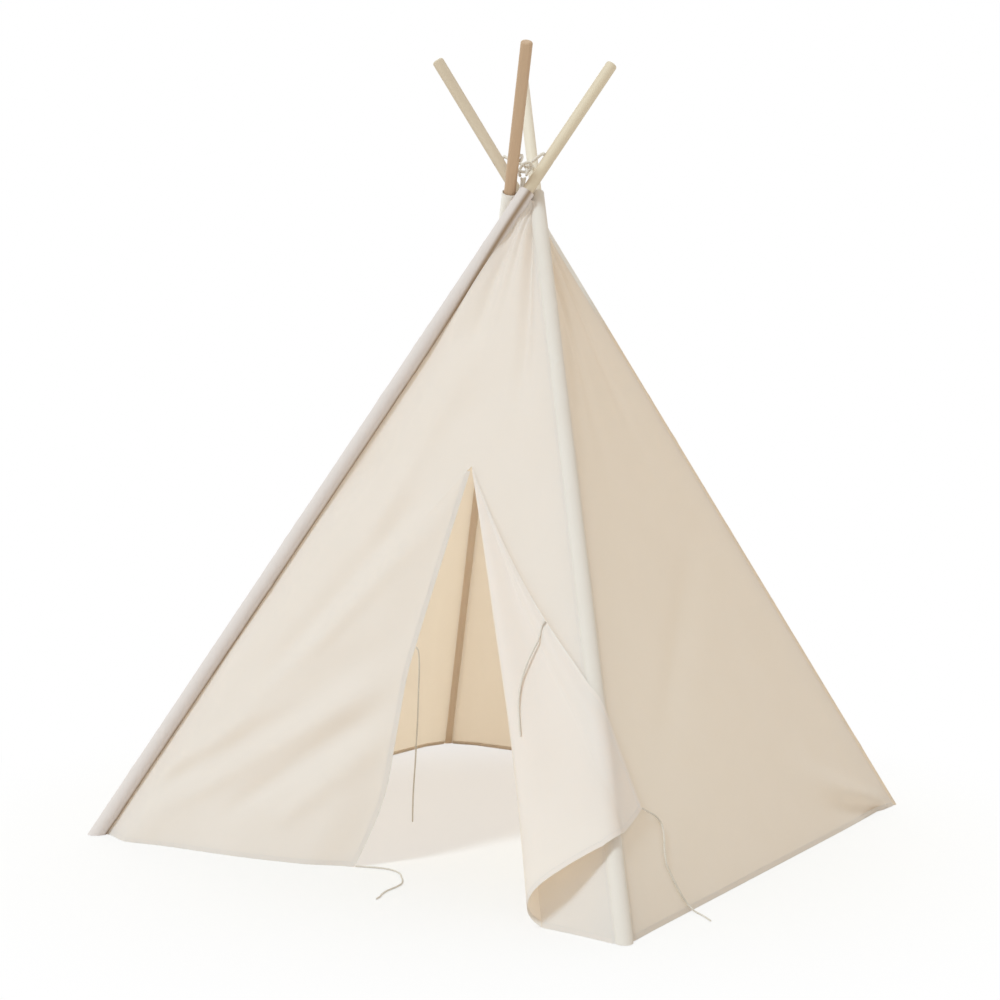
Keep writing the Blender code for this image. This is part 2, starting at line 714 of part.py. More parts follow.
# Tie cords: points on the real cords, chosen by eye, in metres
TIE_ROUTES = {
    "tie_left_mid": (
        (0.0184, -0.3628, 0.3878), (0.0207, -0.3617, 0.3852), (0.0224, -0.3603, 0.3790),
        (0.0230, -0.3590, 0.3660), (0.0225, -0.3575, 0.3480), (0.0212, -0.3565, 0.3280),
        (0.0200, -0.3558, 0.3050), (0.0190, -0.3552, 0.2800), (0.0180, -0.3548, 0.2550),
        (0.0165, -0.3545, 0.2300), (0.0150, -0.3545, 0.2050), (0.0138, -0.3545, 0.1800),
        (0.0120, -0.3545, 0.1550), (0.0102, -0.3545, 0.1300), (0.0090, -0.3545, 0.1050),
        (0.0085, -0.3545, 0.0820), (0.0085, -0.3545, 0.0630),
    ),
    "tie_left_bottom": (
        (-0.0278, -0.4756, 0.0018), (-0.0225, -0.4734, 0.0018), (-0.0090, -0.4678, 0.0018),
        (0.0120, -0.4600, 0.0018), (0.0310, -0.4570, 0.0018), (0.0500, -0.4600, 0.0018),
        (0.0680, -0.4700, 0.0018), (0.0820, -0.4850, 0.0018), (0.0960, -0.5000, 0.0018),
        (0.1080, -0.5200, 0.0018), (0.1120, -0.5420, 0.0018), (0.1130, -0.5640, 0.0018),
        (0.1180, -0.5850, 0.0018), (0.1250, -0.6010, 0.0018), (0.1280, -0.6150, 0.0018),
    ),
    "tie_right_mid": (
        (0.3040, -0.3800, 0.4580), (0.3020, -0.3820, 0.4550), (0.3020, -0.3860, 0.4460),
        (0.3033, -0.3943, 0.4270), (0.3022, -0.4066, 0.4120), (0.3018, -0.4213, 0.3962),
        (0.3026, -0.4347, 0.3810), (0.3043, -0.4467, 0.3656), (0.3075, -0.4573, 0.3502),
        (0.3122, -0.4675, 0.3352), (0.3160, -0.4745, 0.3240), (0.3206, -0.4806, 0.3127),
        (0.3260, -0.4870, 0.3015), (0.3311, -0.4932, 0.2908), (0.3365, -0.4990, 0.2800),
    ),
    "tie_right_bottom": (
        (0.5178, -0.4175, 0.1705), (0.5184, -0.4120, 0.1680), (0.5188, -0.4040, 0.1640),
        (0.5192, -0.3900, 0.1580), (0.5205, -0.3760, 0.1510),
        (0.5245, -0.3670, 0.1410), (0.5295, -0.3660, 0.1300), (0.5360, -0.3730, 0.1160),
        (0.5425, -0.3840, 0.1020), (0.5480, -0.3910, 0.0900), (0.5535, -0.3950, 0.0780),
        (0.5595, -0.3935, 0.0650), (0.5660, -0.3905, 0.0510), (0.5720, -0.3870, 0.0380),
        (0.5780, -0.3825, 0.0250), (0.5850, -0.3760, 0.0120), (0.5940, -0.3740, 0.0035),
        (0.6070, -0.3790, 0.0018), (0.6230, -0.3900, 0.0018), (0.6390, -0.4030, 0.0018),
    ),
}

# The rope's two tails, as points under the knot's centre, chosen by eye, in metres
TAIL_ROUTES = {
    "lashing_tail_long": (
        (0.0062, -0.0017, -0.0156), (0.0050, -0.0018, -0.0180), (0.0042, -0.0026, -0.0215),
        (0.0044, -0.0040, -0.0270), (0.0050, -0.0052, -0.0330), (0.0050, -0.0062, -0.0395),
        (0.0040, -0.0068, -0.0465), (0.0025, -0.0072, -0.0535), (0.0012, -0.0076, -0.0600),
    ),
    "lashing_tail_short": (
        (-0.0062, 0.0017, -0.0156), (-0.0050, 0.0018, -0.0180), (-0.0042, 0.0026, -0.0215),
        (-0.0052, 0.0028, -0.0265), (-0.0064, 0.0022, -0.0315), (-0.0074, 0.0012, -0.0365),
        (-0.0080, 0.0002, -0.0415), (-0.0082, -0.0004, -0.0470), (-0.0080, -0.0006, -0.0545),
    ),
}

SIDE_SURFACES = {name: Front() if name == "front" else Side(name) for name in SIDES}


def main():
    """Builds the whole teepee."""
    clear_scene()
    knot = knot_points()
    print("knot least gap, mm:", round(1000 * least_gap(knot, ROPE_DIAMETER), 2))
    make_cord("lashing_knot", knot, ROPE_DIAMETER, ROPE, 1)
    for pole in POLES.values():
        make_pole(pole)
        make_sleeve(pole)
        route = smooth_route(rope_points(pole, knot), ROPE_DIAMETER / 2)
        make_cord(f"rope_{pole.corner}", route, ROPE_DIAMETER, ROPE)
    for name, side in SIDE_SURFACES.items():
        if name != "front":
            make_side(side)
    front = SIDE_SURFACES["front"]
    make_front(front)
    left_top, left_way = fold_axis(front, LEFT_FOLD_FOOT_X)
    right_top, right_way = fold_axis(front, RIGHT_FOLD_FOOT_X)
    make_flap("door_flap_left", left_flap_rows(front), left_top)
    make_flap("door_flap_right", right_flap_rows(front), right_top)
    for name, points in TIE_ROUTES.items():
        make_cord(name, smooth_route(points, TIE_DIAMETER * CORD_STEP_DIAMETERS), TIE_DIAMETER, CORD)
    for name, points in TAIL_ROUTES.items():
        hung = [Vector(point) + Vector((0, 0, KNOT_HEIGHT)) for point in points]
        make_cord(name, smooth_route(hung, ROPE_DIAMETER), ROPE_DIAMETER, ROPE)


main()
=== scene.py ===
"""Kids teepee, dressed: canvas, poles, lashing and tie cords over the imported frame.

Metres, +Z up. The origin is on the floor under the crossing, and the door faces -Y.
"""

import logging
import math
from dataclasses import dataclass, field
from enum import Enum
from typing import Any, Sequence

import bmesh
import bpy
import numpy as np
from mathutils import Matrix, Vector


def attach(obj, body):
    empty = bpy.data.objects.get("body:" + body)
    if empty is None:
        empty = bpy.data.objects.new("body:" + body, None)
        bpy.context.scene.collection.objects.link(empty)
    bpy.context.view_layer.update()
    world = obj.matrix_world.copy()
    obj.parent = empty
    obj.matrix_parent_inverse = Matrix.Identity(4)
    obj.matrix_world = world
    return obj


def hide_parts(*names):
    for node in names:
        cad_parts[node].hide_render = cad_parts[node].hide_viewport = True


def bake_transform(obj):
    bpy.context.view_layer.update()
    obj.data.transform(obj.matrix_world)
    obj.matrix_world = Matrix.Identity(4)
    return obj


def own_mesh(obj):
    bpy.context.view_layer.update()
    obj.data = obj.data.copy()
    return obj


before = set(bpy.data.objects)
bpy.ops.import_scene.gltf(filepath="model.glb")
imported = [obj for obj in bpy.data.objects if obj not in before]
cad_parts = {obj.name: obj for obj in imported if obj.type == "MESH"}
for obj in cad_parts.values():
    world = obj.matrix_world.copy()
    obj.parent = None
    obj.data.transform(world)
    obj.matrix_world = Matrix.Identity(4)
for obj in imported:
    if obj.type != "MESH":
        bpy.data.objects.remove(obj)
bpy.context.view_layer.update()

Array = np.ndarray
Colour = tuple[float, float, float]
Point = tuple[float, float, float]
Ends = tuple[float, float]

LOG = logging.getLogger("teepee")
CURVE_STEPS = 24
UPRIGHT = np.array([0.0, 0.0, 1.0])


# Numbers and vectors


def smooth(value: Array | float) -> Array:
    """A share clamped to 0 to 1, with flat ends."""
    held = np.clip(value, 0.0, 1.0)
    return held * held * (3 - 2 * held)


def mix(first: Any, second: Any, share: Any) -> Any:
    """The value at a share of the way from the first to the second."""
    return first + (second - first) * share


def spread(share: Array) -> Array:
    """Numbers with a last axis added, so that they multiply vectors."""
    return np.asarray(share, dtype=float)[..., None]


def dot(first: Array, second: Array) -> Array:
    """The dot product along the last axis."""
    return np.sum(first * second, axis=-1)


def unit(vectors: Array) -> Array:
    """Vectors scaled to length 1 along the last axis."""
    return vectors / np.maximum(np.linalg.norm(vectors, axis=-1, keepdims=True), 1e-12)


def turned(points: Array, axis: Array, angle: Array) -> Array:
    """Points turned about an axis through the origin.

    Args:
        points: Points, with any number of leading axes.
        axis: The unit axis.
        angle: The angle of each point, in radians.

    Returns:
        The turned points.
    """
    wide = np.broadcast_to(axis, points.shape)
    cosine, sine = spread(np.cos(angle)), spread(np.sin(angle))
    lengthwise = wide * spread(dot(wide, points)) * (1 - cosine)
    return points * cosine + np.cross(wide, points) * sine + lengthwise


def reaches(points: Array) -> Array:
    """How far along a route each of its points lies."""
    return np.concatenate([[0], np.cumsum(np.linalg.norm(np.diff(points, axis=0), axis=1))])


def read_off(values: Array, reach: Array, wanted: Array) -> Array:
    """Vectors given at some reaches along a route, read off at others."""
    return np.stack([np.interp(wanted, reach, values[:, axis]) for axis in range(3)], axis=1)


def smooth_route(points: Sequence[Any], step: float) -> Array:
    """Evenly spaced points on a smooth curve through a route's own points.

    Args:
        points: The route's points.
        step: The spacing wanted, in metres.

    Returns:
        The points, one a row.
    """
    route = np.array([tuple(point) for point in points], dtype=float)
    ends = np.vstack([2 * route[0] - route[1], route, 2 * route[-1] - route[-2]])
    dense: list[Array] = []
    for first, second, third, fourth in zip(ends, ends[1:], ends[2:], ends[3:]):
        for share in np.linspace(0, 1, CURVE_STEPS, endpoint=False):
            square, cube = share**2, share**3
            dense.append(0.5 * (
                2 * second + (third - first) * share
                + (2 * first - 5 * second + 4 * third - fourth) * square
                + (3 * second - first - 3 * third + fourth) * cube
            ))
    dense.append(route[-1])
    return even_route(np.array(dense), step)


def even_route(points: Array, step: float) -> Array:
    """A route's points spaced evenly at about this step."""
    reach = reaches(points)
    return read_off(points, reach, np.linspace(0, reach[-1], max(2, round(reach[-1] / step) + 1)))


def route_length(points: Array) -> float:
    """The length along a route."""
    return float(np.linalg.norm(np.diff(points, axis=0), axis=1).sum())


# The frame that everything hangs on


class Corner(Enum):
    """The corner of the base where a pole stands, as the signs of its X and Y."""

    FRONT_LEFT = (-1, -1)
    FRONT_RIGHT = (1, -1)
    BACK_RIGHT = (1, 1)
    BACK_LEFT = (-1, 1)

    @property
    def label(self) -> str:
        """The corner's name in the frame."""
        return self.name.lower()


class Wall(Enum):
    """A canvas side, as the corners at its left and right seen from outside."""

    FRONT = (Corner.FRONT_LEFT, Corner.FRONT_RIGHT)
    RIGHT = (Corner.FRONT_RIGHT, Corner.BACK_RIGHT)
    BACK = (Corner.BACK_RIGHT, Corner.BACK_LEFT)
    LEFT = (Corner.BACK_LEFT, Corner.FRONT_LEFT)

    @property
    def label(self) -> str:
        """The side's name in the frame."""
        return self.name.lower()


@dataclass(frozen=True)
class Stand:
    """Sizes of the four crossed poles and of what is measured along them."""

    base_width: float = 1.15
    crossing_height: float = 1.24
    pole_side_offset: float = 0.027
    pole_diameter: float = 0.023
    pole_past_crossing: float = 0.308
    hole_past_crossing: float = 0.0834
    sleeve_past_crossing: float = 0.0054
    sleeve_cloth: float = 0.0018
    sleeve_slack: float = 0.002
    canvas: float = 0.0016
    seat_gap: float = 0.0003
    canvas_under_crossing: float = 0.012

    @property
    def half_diagonal(self) -> float:
        """From the centre to a corner of the base."""
        return self.base_width / math.sqrt(2)

    @property
    def foot_radial(self) -> float:
        """How far out a pole's foot stands, along its own direction."""
        return math.sqrt(self.half_diagonal**2 - self.pole_side_offset**2)

    @property
    def frame_turn(self) -> float:
        """The angle between a pole's direction and its corner."""
        return math.asin(self.pole_side_offset / self.half_diagonal)

    @property
    def lean(self) -> float:
        """The angle between a pole and the vertical."""
        return math.atan(self.foot_radial / self.crossing_height)

    @property
    def crossing_reach(self) -> float:
        """From a pole's foot to the crossing, along the pole."""
        return self.crossing_height / math.cos(self.lean)

    @property
    def hole_reach(self) -> float:
        """From a pole's foot to its rope hole."""
        return self.crossing_reach + self.hole_past_crossing

    @property
    def sleeve_length(self) -> float:
        """From a pole's foot to the top of its sleeve."""
        return self.crossing_reach + self.sleeve_past_crossing

    @property
    def pole_radius(self) -> float:
        """Half the pole's diameter."""
        return self.pole_diameter / 2

    @property
    def sleeve_bore(self) -> float:
        """The sleeve's inner radius."""
        return self.pole_radius + self.sleeve_slack

    @property
    def sleeve_outer(self) -> float:
        """The sleeve's outer radius."""
        return self.sleeve_bore + self.sleeve_cloth

    @property
    def seam_radius(self) -> float:
        """From the pole's axis to the middle of the canvas at its seam."""
        return self.sleeve_outer + self.seat_gap + self.canvas / 2

    @property
    def canvas_top(self) -> float:
        """Height of the canvas's top edge."""
        return self.crossing_height - self.canvas_under_crossing

    @property
    def hem_height(self) -> float:
        """Height of the middle of the canvas at its hem."""
        return self.canvas / 2 * math.sin(self.lean) + self.seat_gap / 2


HOLE_TURNS = {
    Corner.FRONT_LEFT: 0.0,
    Corner.FRONT_RIGHT: -math.pi / 2,
    Corner.BACK_RIGHT: 0.0,
    Corner.BACK_LEFT: -math.pi / 2,
}


class PoleLine:
    """The line of one pole, with its directions out from the centre, to its side, and up."""

    def __init__(self, stand: Stand, corner: Corner) -> None:
        """Sets the line's directions and foot.

        Args:
            stand: The frame's sizes.
            corner: The corner where the pole stands.
        """
        self.stand = stand
        self.corner = corner
        diagonal = np.array([*corner.value, 0]) / math.sqrt(2)
        self.out = turned(diagonal, UPRIGHT, -stand.frame_turn)
        self.side = np.array([-self.out[1], self.out[0], 0])
        self.up = UPRIGHT * math.cos(stand.lean) - self.out * math.sin(stand.lean)
        self.face = self.out * math.cos(stand.lean) + UPRIGHT * math.sin(stand.lean)
        self.foot = self.out * stand.foot_radial + self.side * stand.pole_side_offset
        self.hole_turn = HOLE_TURNS[corner]

    def along(self, reach: Array | float) -> Array:
        """The point on the axis this far from the floor, measured along the pole."""
        return self.foot + self.up * spread(reach)

    def at(self, height: Array | float) -> Array:
        """The point on the axis at this height."""
        return self.along(np.asarray(height) / math.cos(self.stand.lean))

    def level(self, points: Array, height: Array) -> Array:
        """Points slid along the pole to a height."""
        return points + self.up * spread((height - points[..., 2]) / self.up[2])

    def round(self, reach: Array | float, angle: Array | float, radius: Array | float) -> Array:
        """Points beside the axis.

        Args:
            reach: How far along the pole.
            angle: 0 faces outward and up, a quarter turn is to the pole's side.
            radius: How far from the axis.

        Returns:
            The points.
        """
        ray = self.face * spread(np.cos(angle)) + self.side * spread(np.sin(angle))
        return self.along(reach) + ray * spread(radius)

    def matrix(self) -> Matrix:
        """Axes whose origin is the rope hole, whose X goes through it and whose Z runs up the pole.

        Returns:
            The axes as a matrix.
        """
        across = np.cross(self.up, self.face)
        turn = Matrix((self.face, across, self.up)).transposed().to_4x4()
        turn = turn @ Matrix.Rotation(self.hole_turn, 4, "Z")
        return Matrix.Translation(Vector(self.along(self.stand.hole_reach))) @ turn


# Meshes


@dataclass
class MeshDraft:
    """Points, faces and cloth coordinates gathered before they become one mesh."""

    points: list[Array] = field(default_factory=list)
    faces: list[tuple[int, ...]] = field(default_factory=list)
    cloth: list[tuple[float, float]] = field(default_factory=list)
    count: int = 0
    weld_distance: float = 2e-5

    def grid(self, points: Array, cloth: Array, wraps: bool = False, flip: bool = False) -> None:
        """Adds a grid of four-sided faces.

        Args:
            points: Rows and columns of points.
            cloth: Rows and columns of cloth coordinates in metres, one column more where it wraps.
            wraps: Whether the last column joins the first.
            flip: Whether the faces look the other way.
        """
        rows, columns = points.shape[:2]
        steps = columns if wraps else columns - 1
        row, column = np.meshgrid(np.arange(rows - 1), np.arange(steps), indexing="ij")
        corners = [(row, column), (row, column + 1), (row + 1, column + 1), (row + 1, column)]
        if flip:
            corners.reverse()
        quads = np.stack([self.count + r * columns + c % columns for r, c in corners], axis=-1)
        placed = np.stack([cloth[r, c] for r, c in corners], axis=-2)
        self.faces += [tuple(quad) for quad in quads.reshape(-1, 4).tolist()]
        self.cloth += [tuple(place) for place in placed.reshape(-1, 2).tolist()]
        self.points.append(points.reshape(-1, 3))
        self.count += rows * columns

    def fan(self, ring: Array, centre: Array, flip: bool = False) -> None:
        """Adds a closing fan from a ring of points to a centre.

        Args:
            ring: The ring's points, in order.
            centre: The fan's middle.
            flip: Whether the faces look the other way.
        """
        number = len(ring)
        for step in range(number):
            face = (self.count + step, self.count + (step + 1) % number, self.count + number)
            self.faces.append(tuple(reversed(face)) if flip else face)
            self.cloth += [(0.0, 0.0)] * 3
        self.points += [ring, centre[None]]
        self.count += number + 1

    def lathe(self, heights: Array, radii: Array, sides: int, axis: int = 2) -> None:
        """Adds a turned solid, closed at both ends.

        Args:
            heights: Places along its axis.
            radii: The radius at each.
            sides: The number of its sides.
            axis: 2 where it stands along Z, 0 where it lies along X.
        """
        angle = math.tau * np.arange(sides) / sides
        radius, height = radii[:, None], heights[:, None] + 0 * angle
        rings = np.stack([radius * np.cos(angle), radius * np.sin(angle), height], axis=-1)
        rings = np.roll(rings, axis + 1, axis=-1)
        self.grid(rings, np.zeros((len(heights), sides + 1, 2)), wraps=True)
        for end, flip in ((0, True), (-1, False)):
            self.fan(rings[end], heights[end] * np.eye(3)[axis], flip=flip)

    def piece(self, name: str, material: bpy.types.Material, weld: bool = False) -> bpy.types.Object:
        """Makes the object.

        Args:
            name: The piece's name.
            material: Its finish.
            weld: Whether points in one place become one.

        Returns:
            The object, linked to the scene.
        """
        mesh = bpy.data.meshes.new(name)
        mesh.from_pydata(np.concatenate(self.points), [], self.faces)
        layer = mesh.uv_layers.new(name="cloth")
        layer.data.foreach_set("uv", np.array(self.cloth, dtype=np.float32).ravel())
        if weld:
            body = bmesh.new()
            body.from_mesh(mesh)
            bmesh.ops.remove_doubles(body, verts=body.verts, dist=self.weld_distance)
            body.to_mesh(mesh)
            body.free()
        mesh.materials.append(material)
        mesh.shade_smooth()
        made = bpy.data.objects.new(name, mesh)
        bpy.context.scene.collection.objects.link(made)
        return made


def carried_axes(path: Array) -> tuple[Array, Array]:
    """Two directions across a path, carried along it without needless twist.

    Args:
        path: The path's points, one a row.

    Returns:
        The two directions at each point.
    """
    along = unit(np.gradient(path, axis=0))
    first = np.cross(along[0], UPRIGHT)
    if np.linalg.norm(first) < 1e-3:
        first = np.cross(along[0], (1.0, 0.0, 0.0))
    sides = [unit(first)]
    for way in along[1:]:
        side = sides[-1] - way * np.dot(sides[-1], way)
        sides.append(unit(side))
    across = np.array(sides)
    return across, np.cross(along, across)


@dataclass(frozen=True)
class TwistedCord:
    """A round cord laid up from strands that wind round each other."""

    diameter: float
    strands: int
    turn_diameters: float = 3.2
    groove: float = 0.20
    sides_per_strand: int = 8
    step: float = 0.0007
    lobe_power: float = 0.55
    blunt_end: float = 0.05

    def draft(self, points: Array) -> MeshDraft:
        """The cord's mesh along a path.

        Args:
            points: The path.

        Returns:
            The mesh, closed at both ends.
        """
        path = even_route(points, self.step)
        across, other = carried_axes(path)
        reach = np.linspace(0, route_length(path), len(path))
        sides = self.strands * self.sides_per_strand
        angle = math.tau * np.arange(sides) / sides
        twist = math.tau * reach / (self.turn_diameters * self.diameter)
        lobe = np.abs(np.cos(self.strands * angle / 2))[None] ** self.lobe_power
        from_end = np.minimum(reach, reach[-1] - reach) / (self.diameter / 2)
        eased = np.minimum(1, np.sqrt(from_end + self.blunt_end))
        radius = self.diameter / 2 * (1 - self.groove + self.groove * lobe) * eased[:, None]
        turn = angle[None] + twist[:, None]
        rings = path[:, None] + radius[..., None] * (
            np.cos(turn)[..., None] * across[:, None] + np.sin(turn)[..., None] * other[:, None]
        )
        wide = np.arange(sides + 1) / sides * math.pi * self.diameter
        cloth = np.stack(np.meshgrid(wide, reach), axis=-1)
        draft = MeshDraft()
        draft.grid(rings, cloth, wraps=True)
        draft.fan(rings[0], path[0], flip=True)
        draft.fan(rings[-1], path[-1])
        return draft


@dataclass(frozen=True)
class StitchRow:
    """A row of machine stitches that lie on cloth."""

    length: float = 0.0032
    pitch: float = 0.0042
    thread: float = 0.0005
    sink: float = 0.00005
    sides: int = 6

    def add(self, draft: MeshDraft, path: Array, normals: Array) -> None:
        """Adds one row.

        Args:
            draft: The mesh that the stitches join.
            path: Points along the row, on the cloth.
            normals: The way out of the cloth at each point.
        """
        centres = even_route(path, self.pitch)
        reach = reaches(path)
        out = unit(read_off(normals, reach, np.linspace(0, reach[-1], len(centres))))
        along = unit(np.gradient(centres, axis=0))
        across = unit(np.cross(out, along))
        stations = np.array([-0.5, -0.36, 0.36, 0.5]) * self.length
        widths = np.array([0.25, 1.0, 1.0, 0.25]) * self.thread / 2
        rises = np.array([-0.5, 0.6, 0.6, -0.5]) * self.thread / 2 - self.sink
        angle = math.tau * np.arange(self.sides) / self.sides
        for centre, way, side, up in zip(centres, along, across, out):
            ring = (
                centre + way * stations[:, None, None] + up * rises[:, None, None]
                + side * (widths[:, None] * np.cos(angle))[..., None]
                + up * (widths[:, None] * np.sin(angle))[..., None]
            )
            draft.grid(ring, np.zeros((len(stations), self.sides + 1, 2)), wraps=True, flip=True)


@dataclass(frozen=True)
class HemBand:
    """A hem turned in and sewn: a flat double band along the inner side of an edge."""

    width: float = 0.010
    thickness: float = 0.0010
    skin: float = 0.0002
    nose: float = 0.0005
    rounding: float = 0.0003
    stitch_inset: float = 0.002

    def add(self, draft: MeshDraft, edge: Array, inner: Array, outward: Array) -> tuple[Array, Array]:
        """Adds one band.

        Args:
            draft: The mesh that the band joins.
            edge: Points along the edge of the cloth.
            inner: Points beside them, a little way into the cloth.
            outward: The way out of the cloth's outer face at each point.

        Returns:
            The path of the hem's stitches on the cloth, and the way out of it there.
        """
        inward = unit(inner - edge)
        out = unit(outward - inward * spread(dot(outward, inward)))
        skin, width, thickness = self.skin, self.width, self.thickness
        profile = (
            (-skin, 0.0), (-self.nose, -thickness / 2), (-skin, -thickness),
            (width * 0.5, -thickness), (width - self.rounding, -thickness),
            (width, -thickness / 2), (width - self.rounding, -skin), (width * 0.5, -skin),
        )
        rings = np.stack([edge + inward * way + out * rise for way, rise in profile], axis=1)
        around = np.array([0, 0.0005, 0.001, 0.008, 0.015, 0.0155, 0.016, 0.023, 0.030])
        cloth = np.stack(np.meshgrid(around, reaches(edge)), axis=-1)
        draft.grid(rings, cloth, wraps=True, flip=True)
        for ring, flip in ((rings[0], False), (rings[-1], True)):
            draft.fan(ring, ring.mean(axis=0), flip=flip)
        return edge + inward * (width - self.stitch_inset), out


# Shader maths


class Socket:
    """One output of a node that takes part in shader maths."""

    def __init__(self, graph: "Graph", output: bpy.types.NodeSocket) -> None:
        """Wraps an output of a node in a graph."""
        self.graph = graph
        self.output = output

    def _math(self, operation: str, *others: "Socket | float") -> "Socket":
        """The result of a Math node on this value and others."""
        values = dict(enumerate((self, *others)))
        return self.graph.value("ShaderNodeMath", {"operation": operation}, values)

    def __add__(self, other: "Socket | float") -> "Socket":
        """This plus another."""
        return self._math("ADD", other)

    def __sub__(self, other: "Socket | float") -> "Socket":
        """This less another."""
        return self._math("SUBTRACT", other)

    def __rsub__(self, other: float) -> "Socket":
        """A number less this."""
        return (self * -1.0) + other

    def __mul__(self, other: "Socket | float") -> "Socket":
        """This times another."""
        return self._math("MULTIPLY", other)

    __radd__ = __add__
    __rmul__ = __mul__

    def sine(self) -> "Socket":
        """The sine of this."""
        return self._math("SINE")

    def size(self) -> "Socket":
        """This without its sign."""
        return self._math("ABSOLUTE")

    def ramp(self, low: float, high: float) -> "Socket":
        """This brought smoothly from 0 at low to 1 at high.

        Args:
            low: The value that gives 0.
            high: The value that gives 1.

        Returns:
            The share.
        """
        settings = {"interpolation_type": "SMOOTHSTEP"}
        sockets = {"Value": self, "From Min": low, "From Max": high}
        return self.graph.value("ShaderNodeMapRange", settings, sockets)


class Graph:
    """A material's or world's nodes."""

    def __init__(self, tree: bpy.types.NodeTree) -> None:
        """Starts on an empty tree."""
        self.tree = tree
        tree.nodes.clear()

    def node(self, kind: str, settings: dict[str, Any] | None = None,
             sockets: dict[Any, Any] | None = None) -> bpy.types.Node:
        """Adds a node.

        Args:
            kind: The node's type.
            settings: Its own settings, set first.
            sockets: Values or links of its inputs, by name or number.

        Returns:
            The node.
        """
        made = self.tree.nodes.new(kind)
        for key, value in (settings or {}).items():
            setattr(made, key, value)
        for key, value in (sockets or {}).items():
            if isinstance(value, Socket):
                self.tree.links.new(value.output, made.inputs[key])
            else:
                made.inputs[key].default_value = value
        return made

    def value(self, kind: str, settings: dict[str, Any] | None = None,
              sockets: dict[Any, Any] | None = None, output: Any = 0) -> Socket:
        """Adds a node and gives one of its outputs."""
        return Socket(self, self.node(kind, settings, sockets).outputs[output])

    def blend(self, share: Socket | float, first: Any, second: Any) -> Socket:
        """A mix of two colours.

        Args:
            share: The share of the second.
            first: The first colour or socket.
            second: The second colour or socket.

        Returns:
            The mixed colour.
        """
        def full(colour: Any) -> Any:
            """A colour with its alpha, or the socket as it is."""
            return colour if isinstance(colour, Socket) else (*colour, 1)

        sockets = {0: share, 6: full(first), 7: full(second)}
        return self.value("ShaderNodeMix", {"data_type": "RGBA"}, sockets, 2)

    def scaled(self, vector: Socket, scale: Point) -> Socket:
        """A vector with its parts multiplied."""
        return self.value("ShaderNodeVectorMath", {"operation": "MULTIPLY"}, {0: vector, 1: scale})

    def noise(self, vector: Socket, scale: float, detail: float = 2.0) -> Socket:
        """Smooth noise from about 0 to 1."""
        sockets = {"Vector": vector, "Scale": scale, "Detail": detail}
        return self.value("ShaderNodeTexNoise", None, sockets)

    def streaks(self, vector: Socket, scale: Point, detail: float = 2.0) -> Socket:
        """Noise drawn out along the vector's parts with the smaller scales."""
        return self.noise(self.scaled(vector, scale), 1.0, detail)

    def cloth_place(self) -> Socket:
        """The place on the cloth, in metres."""
        return self.value("ShaderNodeUVMap", {"uv_map": "cloth"})

    def object_place(self) -> Socket:
        """The place on the object, in its own axes."""
        return self.value("ShaderNodeTexCoord", output="Object")

    def bump(self, strength: float, distance: float, height: Socket) -> Socket:
        """The normal of a surface raised by a height."""
        sockets = {"Strength": strength, "Distance": distance, "Height": height}
        return self.value("ShaderNodeBump", None, sockets)

    def seen_by(self, *rays: str) -> Socket:
        """1 for each of these kinds of ray, 0 for others.

        Args:
            *rays: The kinds, such as Camera.

        Returns:
            The number.
        """
        path = self.node("ShaderNodeLightPath")
        first, *others = (Socket(self, path.outputs[f"Is {ray} Ray"]) for ray in rays)
        return sum(others, first)

    def finish(self, surface: Socket, kind: str = "Material") -> None:
        """Ends the graph in its output."""
        self.node(f"ShaderNodeOutput{kind}", None, {"Surface": surface})


def new_material(name: str) -> tuple[bpy.types.Material, Graph]:
    """A material with an empty graph.

    Args:
        name: The material's name.

    Returns:
        The material and its graph.
    """
    made = bpy.data.materials.new(name)
    made.use_nodes = True
    return made, Graph(made.node_tree)


